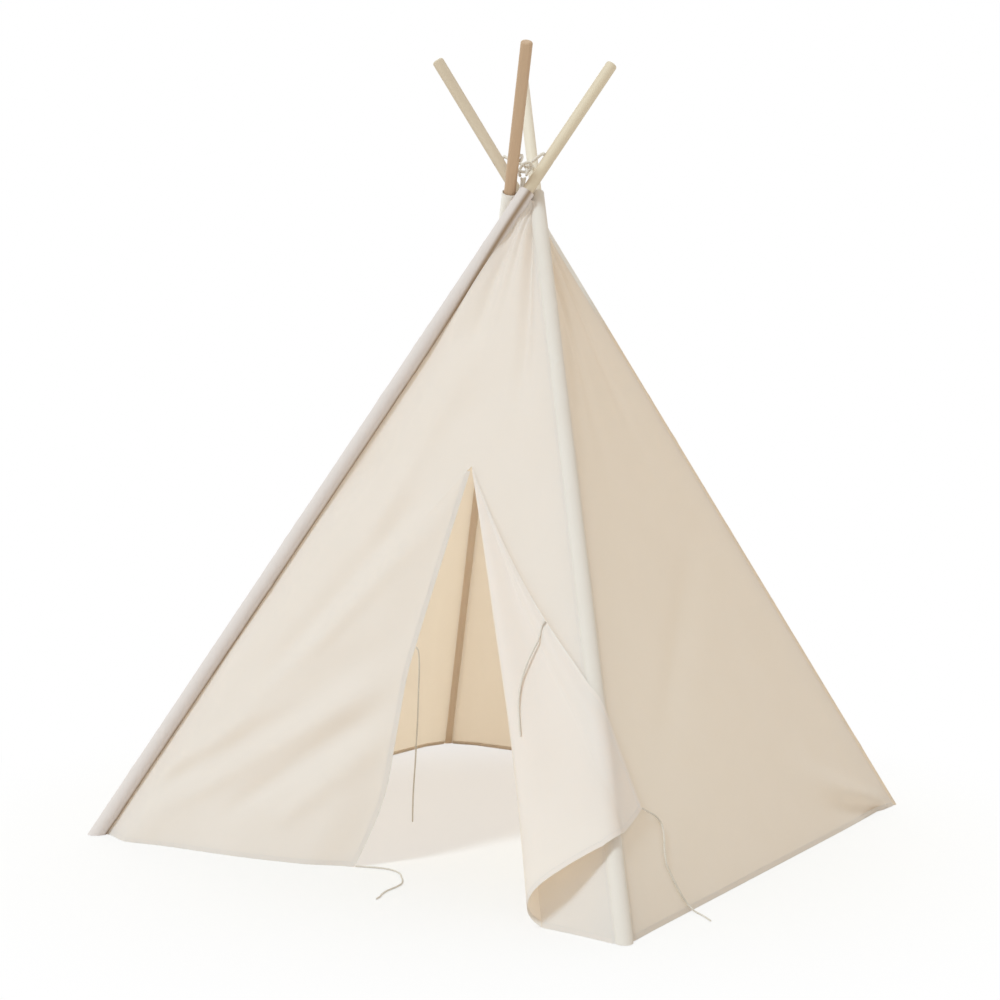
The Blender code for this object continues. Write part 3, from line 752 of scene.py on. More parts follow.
@dataclass(frozen=True)
class CanvasFinish:
    """Natural cotton canvas in plain weave, thin enough that light comes through it."""

    name: str = "natural_canvas"
    colour: Colour = (0.864, 0.848, 0.822)
    warm: Colour = (0.844, 0.822, 0.782)
    glow: Colour = (0.975, 0.800, 0.600)
    glow_share: float = 0.34
    # Painted shade: the groove colour and width below paint a dark brown band along the groove where the
    # canvas is sewn to a sleeve.
    groove: Colour = (0.400, 0.290, 0.200)
    groove_shade_width: float = 0.0
    girth: float = 0.0
    fade_from: float = 0.0
    fade_length: float = 0.15
    thread_pitch: float = 0.0010
    streak_scales: Ends = (900.0, 26.0)
    cloud_scale: float = 9.0
    slub_share: float = 0.34
    cloud_share: float = 0.46
    weave_share: float = 0.20
    roughness: float = 0.92
    roughness_range: float = 0.08
    bump: float = 0.22
    bump_height: float = 0.0004

    def build(self) -> bpy.types.Material:
        """Makes the material.

        Returns:
            The material.
        """
        material, graph = new_material(self.name)
        place = graph.cloth_place()
        parts = graph.node("ShaderNodeSeparateXYZ", None, {0: place})
        across, up = Socket(graph, parts.outputs[0]), Socket(graph, parts.outputs[1])
        wave = math.tau / (2 * self.thread_pitch)
        weave = (across * wave).sine() * (up * wave).sine()
        fine, long = self.streak_scales
        warp = graph.streaks(place, (fine, long, 1.0), 1.0)
        weft = graph.streaks(place, (long, fine, 1.0), 1.0)
        cloud = graph.noise(place, self.cloud_scale, 3.0)
        slub = (warp * 0.5 + weft * 0.5).ramp(0.35, 0.68)
        tone = slub * self.slub_share + cloud.ramp(0.30, 0.72) * self.cloud_share
        tone = tone + weave.size() * self.weave_share
        colour = graph.blend(tone, self.warm, self.colour)
        # Painted shade: near both ends of the cloth's width, where the seam groove lies, the colour goes over
        # to the dark groove colour.
        if self.groove_shade_width:
            near = across.ramp(0.0, self.groove_shade_width)
            near = near * (self.girth - across).ramp(0.0, self.groove_shade_width)
            colour = graph.blend(1 - near, colour, self.groove)
        rough = cloud * self.roughness_range + (self.roughness - self.roughness_range / 2)
        bump = graph.bump(self.bump, self.bump_height, weave.size() * 0.55 + slub * 0.45)
        cloth = graph.value("ShaderNodeBsdfPrincipled", None, {
            "Base Color": colour, "Roughness": rough, "Normal": bump,
            "Specular IOR Level": 0.18, "Sheen Weight": 0.12, "Sheen Roughness": 0.6,
        })
        through = graph.value("ShaderNodeBsdfTranslucent", None, {"Color": (*self.glow, 1)})
        share = self.glow_share
        # Painted light: above fade_from on the cloth, the share of light let through falls away, so the top
        # of the piece reads paler.
        if self.fade_from:
            share = (1 - up.ramp(self.fade_from, self.fade_from + self.fade_length)) * share
        graph.finish(graph.value("ShaderNodeMixShader", None, {0: share, 1: cloth, 2: through}))
        return material


@dataclass(frozen=True)
class WoodFinish:
    """Sanded bare wood, with its grain along the pole."""

    name: str
    light: Colour
    dark: Colour
    shift: float
    grain_scale: Point = (70.0, 70.0, 1.6)
    pore_scale: Point = (620.0, 620.0, 9.0)
    cloud_scale: Point = (14.0, 14.0, 2.4)
    grain_share: float = 0.62
    pore_share: float = 0.12
    roughness: float = 0.58
    roughness_range: float = 0.14
    bump: float = 0.10
    bump_height: float = 0.0004

    def build(self) -> bpy.types.Material:
        """Makes the material.

        Returns:
            The material.
        """
        material, graph = new_material(self.name)
        offset = {0: graph.object_place(), 1: (self.shift, 0, self.shift)}
        place = graph.value("ShaderNodeVectorMath", {"operation": "ADD"}, offset)
        rings = graph.streaks(place, self.grain_scale, 4.0)
        pores = graph.streaks(place, self.pore_scale)
        cloud = graph.streaks(place, self.cloud_scale)
        tone = rings.ramp(0.36, 0.66) * self.grain_share + cloud.ramp(0.3, 0.7) * (1 - self.grain_share)
        colour = graph.blend(tone, self.dark, self.light)
        colour = graph.blend(pores.ramp(0.60, 0.78) * self.pore_share, colour, self.dark)
        rough = rings * self.roughness_range + (self.roughness - self.roughness_range / 2)
        graph.finish(graph.value("ShaderNodeBsdfPrincipled", None, {
            "Base Color": colour, "Roughness": rough, "Specular IOR Level": 0.32,
            "Normal": graph.bump(self.bump, self.bump_height, pores * 0.6 + rings * 0.4),
        }))
        return material


@dataclass(frozen=True)
class CottonFinish:
    """Twisted or spun cotton: rope, cord and sewing thread."""

    name: str
    light: Colour
    dark: Colour
    fibre: float = 0.0006
    fibre_run: float = 0.22
    fibre_share: float = 0.6
    cloud_scale: float = 60.0
    roughness: float = 0.9
    roughness_range: float = 0.1
    bump: float = 0.30
    bump_height: float = 0.0003

    def build(self) -> bpy.types.Material:
        """Makes the material.

        Returns:
            The material.
        """
        material, graph = new_material(self.name)
        fibres = graph.streaks(graph.cloth_place(), (1 / self.fibre, self.fibre_run / self.fibre, 1.0))
        cloud = graph.noise(graph.object_place(), self.cloud_scale)
        tone = fibres.ramp(0.34, 0.66) * self.fibre_share + cloud.ramp(0.3, 0.7) * (1 - self.fibre_share)
        rough = fibres * self.roughness_range + (self.roughness - self.roughness_range / 2)
        graph.finish(graph.value("ShaderNodeBsdfPrincipled", None, {
            "Base Color": graph.blend(tone, self.dark, self.light), "Roughness": rough,
            "Normal": graph.bump(self.bump, self.bump_height, fibres),
            "Specular IOR Level": 0.2, "Sheen Weight": 0.15,
        }))
        return material


@dataclass
class Finishes:
    """Every finish on the teepee."""

    canvas: bpy.types.Material
    lined_painted_shade: bpy.types.Material
    back_sleeve_painted_light: bpy.types.Material
    shaded: bpy.types.Material
    front_painted_light: bpy.types.Material
    folded: bpy.types.Material
    hemmed: bpy.types.Material
    thread: bpy.types.Material
    rope: bpy.types.Material
    cord: bpy.types.Material
    wood: dict[Corner, bpy.types.Material]

    @classmethod
    def make(cls, girth: float) -> "Finishes":
        """Builds them all, for sleeves of a girth.

        Args:
            girth: The distance round a sleeve.

        Returns:
            The finishes.
        """
        # Besides the plain canvas, these are copies of one canvas whose colours are lightened, darkened or
        # tinted for how light falls on each part: painted light and painted shade.
        cloths = {
            "canvas": CanvasFinish(),
            # The doubled cloth lets little light through; its darker, warmer colour is painted shade, so that
            # the front right sleeve matches the tone that light through the thinner canvas gives beside it.
            "lined_painted_shade": CanvasFinish(
                "doubled_canvas_front_right_painted_shade", (0.848, 0.802, 0.752), (0.818, 0.762, 0.702), glow_share=0.08,
            ),
            # Painted light: the back sleeves take a lighter copy of the canvas that lets more warm light
            # through, less of it near their tops, so they read bright and golden from inside.
            "back_sleeve_painted_light": CanvasFinish(
                "doubled_canvas_back_painted_light", (0.930, 0.905, 0.875), (0.910, 0.880, 0.840),
                glow=(1.0, 0.860, 0.640), glow_share=0.52, fade_from=1.15,
            ),
            # Painted shade: the front left sleeve takes a darker, pinker copy of the canvas for the shade on
            # its side, and carries the painted shade band along its seam groove.
            "shaded": CanvasFinish(
                "doubled_canvas_front_left_painted_shade", (0.808, 0.745, 0.728), (0.778, 0.710, 0.688), glow_share=0.06,
                groove_shade_width=0.009, girth=girth,
            ),
            # Painted light: the front and the left flap take a lighter, cooler copy of the canvas, for the
            # key light that falls on that side.
            "front_painted_light": CanvasFinish("front_canvas_painted_light", (0.872, 0.878, 0.890), (0.852, 0.850, 0.850)),
            # Painted light: the right flap takes a paler, cooler copy of the canvas, and its deeper orange
            # through-colour paints warm light into its roll.
            "folded": CanvasFinish(
                "folded_canvas_painted_light", (0.930, 0.928, 0.926), (0.910, 0.903, 0.895),
                glow=(1.0, 0.740, 0.460), glow_share=0.28,
            ),
            # Painted light: the hem bands of the front and the flaps take a lighter copy of the canvas, for
            # the light through the canvas that their doubled cloth would block.
            "hemmed": CanvasFinish(
                "hem_canvas_painted_light", (0.965, 0.917, 0.868), (0.945, 0.897, 0.845), glow_share=0.10,
            ),
            "thread": CottonFinish("sewing_thread", (0.870, 0.850, 0.815), (0.810, 0.780, 0.735), 0.0003),
            "rope": CottonFinish("laid_rope", (0.860, 0.820, 0.760), (0.770, 0.720, 0.650)),
            "cord": CottonFinish("tie_cord", (0.790, 0.740, 0.670), (0.660, 0.600, 0.520), 0.0004),
        }
        woods = {
            Corner.FRONT_LEFT: WoodFinish("wood_honey", (0.780, 0.690, 0.540), (0.680, 0.575, 0.430), 0.3),
            Corner.FRONT_RIGHT: WoodFinish("wood_pale", (0.870, 0.815, 0.710), (0.790, 0.710, 0.590), 1.7),
            Corner.BACK_RIGHT: WoodFinish("wood_sand", (0.780, 0.690, 0.560), (0.680, 0.580, 0.450), 2.9),
            Corner.BACK_LEFT: WoodFinish("wood_rose", (0.640, 0.466, 0.318), (0.545, 0.376, 0.248), 4.1),
        }
        made = {role: finish.build() for role, finish in cloths.items()}
        return cls(**made, wood={corner: finish.build() for corner, finish in woods.items()})


# Cloth surfaces


@dataclass(frozen=True)
class Crease:
    """A soft straight fold in a side, by its places across the side from the middle and its heights."""

    start: Ends
    end: Ends
    width: float
    depth: float
    opening: float = 1.0
    ease: Ends = (0.25, 0.35)
    tilt: float = 0.0

    def inward(self, place: Array, height: Array) -> Array:
        """How far the fold pushes the cloth in.

        Args:
            place: Places across the side.
            height: Heights.

        Returns:
            The depths, below 0 where the fold stands out.
        """
        way = np.subtract(self.end, self.start)
        length = math.hypot(*way)
        way = way / length
        from_start = (place - self.start[0], height - self.start[1])
        share = (from_start[0] * way[0] + from_start[1] * way[1]) / length
        aside = from_start[0] * way[1] - from_start[1] * way[0]
        width = self.width * mix(1, self.opening, np.clip(share, 0, 1))
        near = aside / width
        shape = np.exp(-near * near) * (1 + self.tilt * near)
        return self.depth * shape * smooth(share / self.ease[0]) * smooth((1 - share) / self.ease[1])


@dataclass(frozen=True)
class LongFold:
    """A fold that runs up a side, by shares: its places at top and foot, depth, width and start."""

    top: float
    foot: float
    deep: float
    width: float
    low: float


@dataclass(frozen=True)
class WallShape:
    """What differs between the canvas sides."""

    sag: float
    folds: tuple[LongFold, ...]
    creases: tuple[Crease, ...] = ()
    flush: Ends = (0.0, 0.0)


SHAPES: dict[Wall, WallShape] = {
    Wall.FRONT: WallShape(
        sag=0.003,
        folds=(
            LongFold(0.80, 0.86, 1.0, 0.050, 0.62),
            LongFold(0.55, 0.70, 0.6, 0.060, 0.74),
            LongFold(0.30, 0.24, 0.5, 0.080, 0.66),
        ),
        creases=(
            Crease((-0.490, 0.055), (0.030, 0.425), 0.020, 0.0098, 1.9),
            Crease((-0.490, 0.090), (-0.080, 0.345), 0.017, -0.0075, 1.6),
            Crease((-0.420, 0.052), (0.040, 0.355), 0.018, -0.0068, 1.4),
            Crease((-0.300, 0.050), (0.050, 0.315), 0.020, 0.0110, 1.4),
            Crease((-0.180, 0.050), (0.040, 0.250), 0.020, -0.0070, 1.4),
            Crease((-0.290, 0.275), (0.030, 0.730), 0.022, 0.0105, 1.5),
            Crease((-0.200, 0.330), (0.040, 0.640), 0.018, -0.0070, 1.4),
            Crease((-0.420, 0.240), (-0.150, 0.720), 0.028, -0.0095, 1.3),
            Crease((-0.370, 0.330), (-0.060, 0.860), 0.028, 0.0105, 1.5),
            Crease((-0.250, 0.560), (0.005, 1.060), 0.022, 0.0080, 1.5),
            Crease((-0.130, 0.520), (0.030, 1.000), 0.022, -0.0080, 1.5),
            Crease((0.026, 1.225), (0.158, 0.720), 0.0060, 0.0095, 3.0, (0.04, 0.55)),
            Crease((0.008, 1.222), (-0.018, 0.850), 0.0080, 0.0085, 3.0, (0.06, 0.50)),
            Crease((-0.012, 1.215), (-0.110, 0.760), 0.0080, -0.0060, 3.4, (0.10, 0.55)),
        ),
        flush=(-2.0, 1.0),
    ),
    Wall.RIGHT: WallShape(
        sag=0.006,
        folds=(LongFold(0.30, 0.22, 0.9, 0.060, 0.45), LongFold(0.62, 0.75, 0.8, 0.070, 0.30)),
        creases=(
            Crease((0.030, 1.170), (-0.230, 0.600), 0.012, 0.0070, 3.0, (0.10, 0.60)),
            Crease((0.552, 0.010), (0.160, 0.145), 0.012, -0.0105, 2.8, (0.08, 0.60)),
            Crease((0.540, 0.008), (0.230, 0.050), 0.012, 0.0090, 2.4, (0.10, 0.60)),
            Crease((-0.300, 0.200), (0.260, 0.640), 0.030, 0.0050, 1.4, (0.35, 0.45)),
        ),
        flush=(0.3, 1.0),
    ),
    Wall.BACK: WallShape(
        sag=0.006,
        folds=(LongFold(0.40, 0.30, 0.9, 0.070, 0.30), LongFold(0.70, 0.78, 0.8, 0.060, 0.45)),
        creases=(
            Crease((-0.380, 0.120), (0.120, 0.520), 0.026, 0.0075, 1.5, (0.30, 0.40)),
            Crease((0.420, 0.060), (0.060, 0.480), 0.024, 0.0080, 1.5, (0.25, 0.40)),
            Crease((0.180, 0.180), (-0.040, 0.800), 0.028, -0.0065, 1.3, (0.30, 0.40)),
        ),
        flush=(0.5, -1.7),
    ),
    Wall.LEFT: WallShape(
        sag=0.006,
        folds=(LongFold(0.35, 0.28, 0.8, 0.070, 0.40), LongFold(0.66, 0.72, 0.9, 0.060, 0.30)),
        creases=(
            Crease((-0.420, 0.080), (0.100, 0.430), 0.024, 0.0080, 1.5, (0.25, 0.40)),
            Crease((0.350, 0.100), (0.020, 0.600), 0.026, -0.0075, 1.4, (0.30, 0.40)),
            Crease((-0.220, 0.220), (0.030, 0.820), 0.026, 0.0070, 1.3, (0.30, 0.40)),
        ),
        flush=(-1.7, 0.5),
    ),
}


@dataclass
class WallSurface:
    """The middle of one side's cloth, as a surface between the seams of two sleeves."""

    stand: Stand
    wall: Wall
    lines: dict[Corner, PoleLine]
    seam_turn: float = math.radians(35)
    fold_depth: float = 0.010
    fold_edge_share: float = 0.5
    fold_top_share: float = 0.25
    fold_taper_share: float = 0.094
    flush_turn: float = math.radians(32)
    flush_reach: float = 0.075
    flush_share: float = 0.3
    flush_height: float = 0.35
    crease_edge_share: float = 0.12
    seam_overlap: float = 0.0003

    def __post_init__(self) -> None:
        """Finds the side's poles and directions."""
        self.shape = SHAPES[self.wall]
        self.left, self.right = (self.lines[corner] for corner in self.wall.value)
        self.outward = unit(self.left.out + self.right.out)
        self.along = np.array([-self.outward[1], self.outward[0], 0.0])

    def seam_normal(self, line: PoleLine, height: Array) -> tuple[Array, Array]:
        """The way across to the other pole, and the way out of the tent, both square to the pole.

        Args:
            line: One of the side's two poles.
            height: Heights.

        Returns:
            The two unit directions at each height.
        """
        other = self.right if line is self.left else self.left
        across = other.at(height) - line.at(height)
        across = unit(across - line.up * spread(dot(across, line.up)))
        ups = np.broadcast_to(line.up, across.shape)
        outward = np.cross(across, ups) if line is self.left else np.cross(ups, across)
        return across, outward

    def seam(self, line: PoleLine, height: Array) -> Array:
        """The edge of the canvas beside a pole's sleeve."""
        return self.beside(line, height, np.array(self.seam_turn), self.stand.seam_radius)

    def sewn(self, line: PoleLine, height: Array) -> Array:
        """The edge of the canvas where it is sewn to the sleeve, higher up it where they are flush.

        Args:
            line: One of the side's two poles.
            height: Heights.

        Returns:
            The points.
        """
        share = self.shape.flush[0 if line is self.left else 1]
        low = smooth((self.stand.canvas_top - height) / self.flush_height)
        turn = self.seam_turn + share * self.flush_turn * low
        return self.beside(line, height, turn, self.stand.sleeve_outer - self.seam_overlap)

    def beside(self, line: PoleLine, height: Array, turn: Array, radius: float) -> Array:
        """A point beside a pole, level with a height.

        Args:
            line: The pole's line.
            height: The height.
            turn: The angle from the way across towards the way out.
            radius: How far from the pole's axis.

        Returns:
            The points.
        """
        across, outward = self.seam_normal(line, height)
        ray = across * spread(np.cos(turn)) + outward * spread(np.sin(turn))
        return line.level(line.at(height) + ray * radius, height)

    def climb(self, height: Array) -> Array:
        """The share of the way from the hem to the canvas's top."""
        low = self.stand.hem_height
        return np.clip((height - low) / (self.stand.canvas_top - low), 0, 1)

    def inward(self, across: Array, height: Array, place: Array) -> Array:
        """How far the cloth lies inside the flat surface: its sag and its folds.

        Args:
            across: Shares of the way across.
            height: Heights.
            place: Places across in metres, from the middle.

        Returns:
            The depths.
        """
        climb = self.climb(height)
        edge = np.maximum(4 * across * (1 - across), 0)
        depth = self.shape.sag * edge * np.sin(math.pi * climb)
        fade = np.minimum(edge / self.fold_edge_share, 1)
        taper = mix(self.fold_top_share, 1, np.minimum((1 - climb) / self.fold_taper_share, 1))
        for fold in self.shape.folds:
            middle = fold.foot + (fold.top - fold.foot) * climb
            grow = smooth((climb - fold.low) / (1 - fold.low))
            ridge = np.exp(-(((across - middle) / fold.width) ** 2))
            depth = depth + self.fold_depth * fold.deep * ridge * grow * taper * fade
        for crease in self.shape.creases:
            depth = depth + crease.inward(place, height) * np.minimum(edge / self.crease_edge_share, 1)
        return depth

    def point(self, across: Array, height: Array, flush: bool = True) -> Array:
        """The middle of the cloth.

        Args:
            across: Shares of the way across.
            height: Heights.
            flush: Whether the cloth rises beside the sleeves that it covers smoothly.

        Returns:
            The points.
        """
        across, height = np.broadcast_arrays(np.asarray(across, float), np.asarray(height, float))
        first, last = self.seam(self.left, height), self.seam(self.right, height)
        flat = mix(first, last, spread(across))
        depth = self.inward(across, height, dot(flat, self.along))
        if flush:
            width = np.linalg.norm(last - first, axis=-1)
            reach = np.minimum(self.flush_reach, width * self.flush_share)
            for line, seam, gap in ((self.left, first, across), (self.right, last, 1 - across)):
                flat = flat + (self.sewn(line, height) - seam) * spread(smooth(1 - gap * width / reach))
        return flat - self.outward * spread(depth)

    def width(self, height: Array) -> Array:
        """The distance between the seams."""
        return np.linalg.norm(self.seam(self.right, height) - self.seam(self.left, height), axis=-1)

    def share(self, x: Array, height: Array) -> Array:
        """The share of the way across that an X is, on the front."""
        low, high = self.seam(self.left, height)[..., 0], self.seam(self.right, height)[..., 0]
        return (x - low) / (high - low)

    def cloth_place(self, across: Array, height: Array) -> Array:
        """Cloth coordinates in metres: from the middle of the side, and up it.

        Args:
            across: Shares of the way across.
            height: Heights.

        Returns:
            The coordinates.
        """
        high = self.stand.crossing_height
        slope = high / math.hypot(high, self.stand.base_width / 2)
        return np.stack([(across - 0.5) * self.width(height), height / slope], axis=-1)


@dataclass
class Door:
    """The doorway in the front side, and the shapes of its two flaps."""

    stand: Stand
    front: WallSurface
    beside: WallSurface
    top_height: float = 0.714
    top_x: float = 0.058
    left_fold_x: float = -0.500
    right_fold_x: float = 0.435
    left_edge_x: float = -0.020
    top_share: float = 0.035
    left_swing: float = math.radians(14)
    left_ease: float = 0.035
    left_ease_share: float = 0.25
    left_swing_limit: float = 0.9
    left_curl: float = 0.022
    left_bow: float = 0.020
    left_bow_high: float = 0.50
    left_bow_crowding: float = 1.3
    left_wave: float = 0.006
    left_waves: float = 2.5
    left_wave_ease: float = 0.15
    curl_start: float = 0.80
    curl_high: float = 0.55
    roll_lift: float = 0.045
    roll_bulge: float = 0.070
    roll_bulge_height: float = 0.020
    roll_share: float = 0.80
    rise_share: float = 0.40
    top_rise_share: float = 0.50
    edge_draw: float = 0.024
    edge_draw_share: float = 0.72
    bend_past: float = 0.020
    bend_height: float = 0.120
    corner_past: float = 0.072
    corner_height: float = 0.190
    wrap_clearance: float = 0.0018
    wrap_blend: float = 0.09
    flap_lift: float = 0.0012
    clearance: float = 0.0026
    right_bow: float = 0.010
    right_bow_share: float = 0.5
    right_ripples: float = 2.1
    right_ripple_slant: float = 0.55
    right_ripple_height: float = 0.0065
    right_ripple_sides: Ends = (0.16, 0.12)
    right_ripple_start: float = 0.12
    right_ripple_ends: Ends = (0.35, 0.30)
    right_bulge_share: float = 0.8

    def line(self, foot_x: float, share: Array) -> tuple[Array, Array]:
        """X and height on a line from the top of the door, share 0, to its foot on the hem, share 1."""
        share = np.asarray(share, dtype=float)
        return mix(self.top_x, foot_x, share), mix(self.top_height, self.stand.hem_height, share)

    def cloth(self, x: Array, height: Array) -> Array:
        """The middle of the front's cloth at an X and height."""
        return self.front.point(self.front.share(x, height), height, flush=False)

    def fold_way(self, foot_x: float) -> Array:
        """The unit way down a flap's fold line.

        Args:
            foot_x: X of the line's foot.

        Returns:
            The direction.
        """
        top = self.cloth(np.array(self.top_x), np.array(self.top_height))
        foot = self.cloth(np.array(foot_x), np.array(self.stand.hem_height))
        return unit(foot - top)

    def left_edge(self, down: Array) -> Array:
        """X of the left flap's free edge, which bows out above its corner.

        Args:
            down: Shares of the way down from the slit's top.

        Returns:
            The X values.
        """
        edge_x, _ = self.line(self.left_edge_x, down)
        low = np.maximum((down - self.left_bow_high) / (1 - self.left_bow_high), 0)
        return edge_x + self.left_bow * np.sin(math.pi * low**self.left_bow_crowding)

    def left_raw(self, down: Array, out: Array) -> Array:
        """The left flap before its hem is brought to the floor's level.

        Args:
            down: Shares of the way down from the slit's top.
            out: Shares of the way out from the fold.

        Returns:
            The points.
        """
        fold_x, height = self.line(self.left_fold_x, down)
        edge_x = self.left_edge(down)
        flat = self.cloth(mix(fold_x, edge_x, out), height)
        pivot = self.cloth(fold_x, height)
        away = np.abs(mix(fold_x, edge_x, out) - fold_x) + 1e-6
        whole = np.abs(edge_x - fold_x) + 1e-6
        ease = np.minimum(self.left_ease, whole * self.left_ease_share)
        reach = (np.sqrt(away**2 + ease**2) - ease) / away
        full = (np.sqrt(whole**2 + ease**2) - ease) / whole
        angle = np.arcsin(np.clip(math.sin(self.left_swing) * reach / full, 0, self.left_swing_limit))
        point = pivot + turned(flat - pivot, self.fold_way(self.left_fold_x), -angle)
        inward = -self.front.seam_normal(self.front.left, height)[1]
        swell = down * (1 - out * out)
        wave = self.left_wave * np.sin(math.pi * self.left_waves * out) * swell
        wave = wave * smooth(out / self.left_wave_ease)
        curl = smooth((out - self.curl_start) / (1 - self.curl_start))
        curl = curl * smooth((down - self.curl_high) / (1 - self.curl_high))
        return point + inward * spread(wave + self.left_curl * curl)

    def left_point(self, down: Array, out: Array) -> Array:
        """The left flap's cloth: down from the slit's top to the hem, out to its free edge.

        Args:
            down: Shares of the way down from the slit's top.
            out: Shares of the way out from the fold.

        Returns:
            The points.
        """
        down, out = np.broadcast_arrays(np.asarray(down, float), np.asarray(out, float))
        point = self.left_raw(down, out)
        hem = self.left_raw(np.ones_like(out), out)[..., 2]
        stretch = (self.top_height - self.stand.hem_height) / (self.top_height - hem)
        point[..., 2] = self.top_height - (self.top_height - point[..., 2]) * stretch
        return point

    @property
    def wrap_radius(self) -> float:
        """How far the wrapped flap's middle lies from the front right pole's axis."""
        return self.stand.sleeve_outer + self.wrap_clearance + self.stand.canvas / 2

    def right_hem(self, share: Array) -> tuple[Array, Array, Array]:
        """The right flap's hem, folded back: its X and height on the unrolled canvas, and its lift.

        Args:
            share: Shares of the way along the hem from the fold.

        Returns:
            The X values, heights and lifts.
        """
        line = self.front.right
        corner = np.array(self.corner_height)
        front_out = self.front.seam_normal(line, corner)[1]
        turn = np.arccos(dot(front_out, self.beside.seam_normal(line, corner)[1]))
        corner_x = line.at(corner)[0] + turn * self.wrap_radius + self.corner_past
        points = (
            (self.right_fold_x, self.stand.hem_height),
            (self.right_fold_x - self.roll_bulge, self.roll_bulge_height),
            (line.at(self.bend_height)[0] + self.bend_past, self.bend_height),
            (float(corner_x), self.corner_height),
        )
        left = 1 - share
        weights = (left**3, 3 * left**2 * share, 3 * left * share**2, share**3)
        x = sum(weight * point[0] for weight, point in zip(weights, points))
        height = sum(weight * point[1] for weight, point in zip(weights, points))
        return x, height, self.roll_lift * np.sin(math.pi * np.minimum(share / self.roll_share, 1))

    def right_edge_bow(self, down: Array) -> Array:
        """How far the doorway's right edge bows to the right."""
        return self.right_bow * np.sin(math.pi * down)

    def right_ripple(self, down: Array, out: Array) -> Array:
        """Soft folds of the right flap that run down from where its cord pulls it back.

        Args:
            down: Shares of the way down from the slit's top.
            out: Shares of the way out from the fold.

        Returns:
            How far they stand out.
        """
        wave = 0.5 + 0.5 * np.sin(math.tau * (self.right_ripples * out + self.right_ripple_slant * down))
        (fold, edge), (top, foot) = self.right_ripple_sides, self.right_ripple_ends
        held = smooth(out / fold) * smooth((1 - out) / edge)
        grown = smooth((down - self.right_ripple_start) / top)
        return self.right_ripple_height * wave * held * grown * smooth((1 - down) / foot)

    def right_point(self, down: Array, out: Array) -> Array:
        """The right flap's cloth: from the slit's top to the folded hem, laid round the sleeve.

        Args:
            down: Shares of the way down from the slit's top.
            out: Shares of the way out from the fold.

        Returns:
            The points.
        """
        down, out = np.broadcast_arrays(np.asarray(down, float), np.asarray(out, float))
        hem_x, hem_height, hem_lift = self.right_hem(out)
        drawn_share = np.sin(math.pi * np.minimum(down / self.edge_draw_share, 1))
        drawn = self.edge_draw * out * out * drawn_share
        bulge = np.minimum(hem_x - self.right_fold_x, 0) * down * (1 - down * down)
        bow = self.right_edge_bow(down) * smooth(1 - out / self.right_bow_share)
        x = mix(self.top_x, hem_x, down) - drawn - bulge * self.right_bulge_share + bow
        level = mix(self.top_height, hem_height, down)
        roll = hem_lift * down + self.right_ripple(down, out)
        line = self.front.right
        outward = self.front.seam_normal(line, level)[1]
        along = unit(line.at(level) - self.front.left.at(level))
        seam_lift = math.sin(self.front.seam_turn) * self.stand.seam_radius
        low_lift = self.stand.canvas + self.flap_lift
        rest_lift = mix(low_lift, self.wrap_radius - seam_lift, smooth(down / self.top_rise_share))
        risen = smooth(out / self.rise_share)
        flat = self.cloth(x, level) + outward * spread(roll + rest_lift * risen)
        short = line.at(level)[..., 0] - x
        wrapped = self.wrapped(level, short, outward, along, self.wrap_radius + roll)
        point = mix(flat, wrapped, spread(risen * smooth((self.wrap_blend - short) / self.wrap_blend)))
        return self.clear(point, line, outward)

    def clear(self, point: Array, line: PoleLine, outward: Array) -> Array:
        """Moves cloth that would dip into a sleeve out to its surface.

        Args:
            point: The cloth.
            line: The sleeve's pole.
            outward: The way out of the front.

        Returns:
            The cloth, nowhere nearer to the pole's axis than the sleeve's outside.
        """
        off = point - line.foot
        off = off - line.up * spread(dot(off, line.up))
        ahead = dot(off, outward)
        aside = np.sqrt(np.maximum(dot(off, off) - ahead * ahead, 0))
        least = self.stand.sleeve_outer + self.clearance
        needed = np.sqrt(np.maximum(least * least - aside * aside, 0))
        return point + outward * spread(np.where(aside < least, np.maximum(needed - ahead, 0), 0))

    def wrapped(self, level: Array, short: Array, outward: Array, along: Array, radius: Array) -> Array:
        """Points before, round or past the front right sleeve.

        Args:
            level: Heights.
            short: What is left to the tangent point, below 0 past it.
            outward: The way out of the front.
            along: The way along the front.
            radius: How far from the pole's axis.

        Returns:
            The points.
        """
        line = self.front.right
        centre = line.at(level)
        across, right_out = self.beside.seam_normal(line, level)
        cosine = dot(outward, right_out)
        turn = np.arccos(np.clip(cosine, -1, 1))
        past = np.maximum(-short, 0)
        angle = np.minimum(past / radius, turn)
        square = unit(right_out - outward * spread(cosine))
        ray = outward * spread(np.cos(angle)) + square * spread(np.sin(angle))
        rest = np.maximum(past - turn * radius, 0)
        laid = centre + ray * spread(radius) + across * spread(rest)
        return laid - along * spread(np.maximum(short, 0))


# Sub-assemblies


def stand_in(piece: bpy.types.Object, node: str) -> None:
    """Hides the node of the frame that a piece stands in for, and logs the piece's faces.

    Args:
        piece: The piece.
        node: The node that it hides.
    """
    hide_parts(node)
    LOG.info("%s: %d faces", piece.name, len(piece.data.polygons))


@dataclass
class Soft:
    """How cloth follows the sides when the frame folds."""

    wall: Wall
    keep: float = 0.14

    def follow(self, piece: bpy.types.Object, body: str) -> None:
        """Makes a piece ride on a body, with a mesh of its own.

        Args:
            piece: The piece of cloth, cord or stitching.
            body: The body that it rides on.
        """
        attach(piece, body)
        axis = (1, 0, 0) if self.wall in (Wall.FRONT, Wall.BACK) else (0, 1, 0)
        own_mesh(piece)

    def hang(self, parts: Sequence[bpy.types.Object], body: str, node: str) -> bpy.types.Object:
        """Hangs canvas, its hem and its stitches on the frame.

        Args:
            parts: The canvas, its hem bands and its stitches.
            body: The body that they ride on.
            node: The node that the canvas hides.

        Returns:
            The canvas.
        """
        sheet, band, rows = parts
        for piece in parts:
            self.follow(piece, body)
        stand_in(sheet, node)
        return sheet


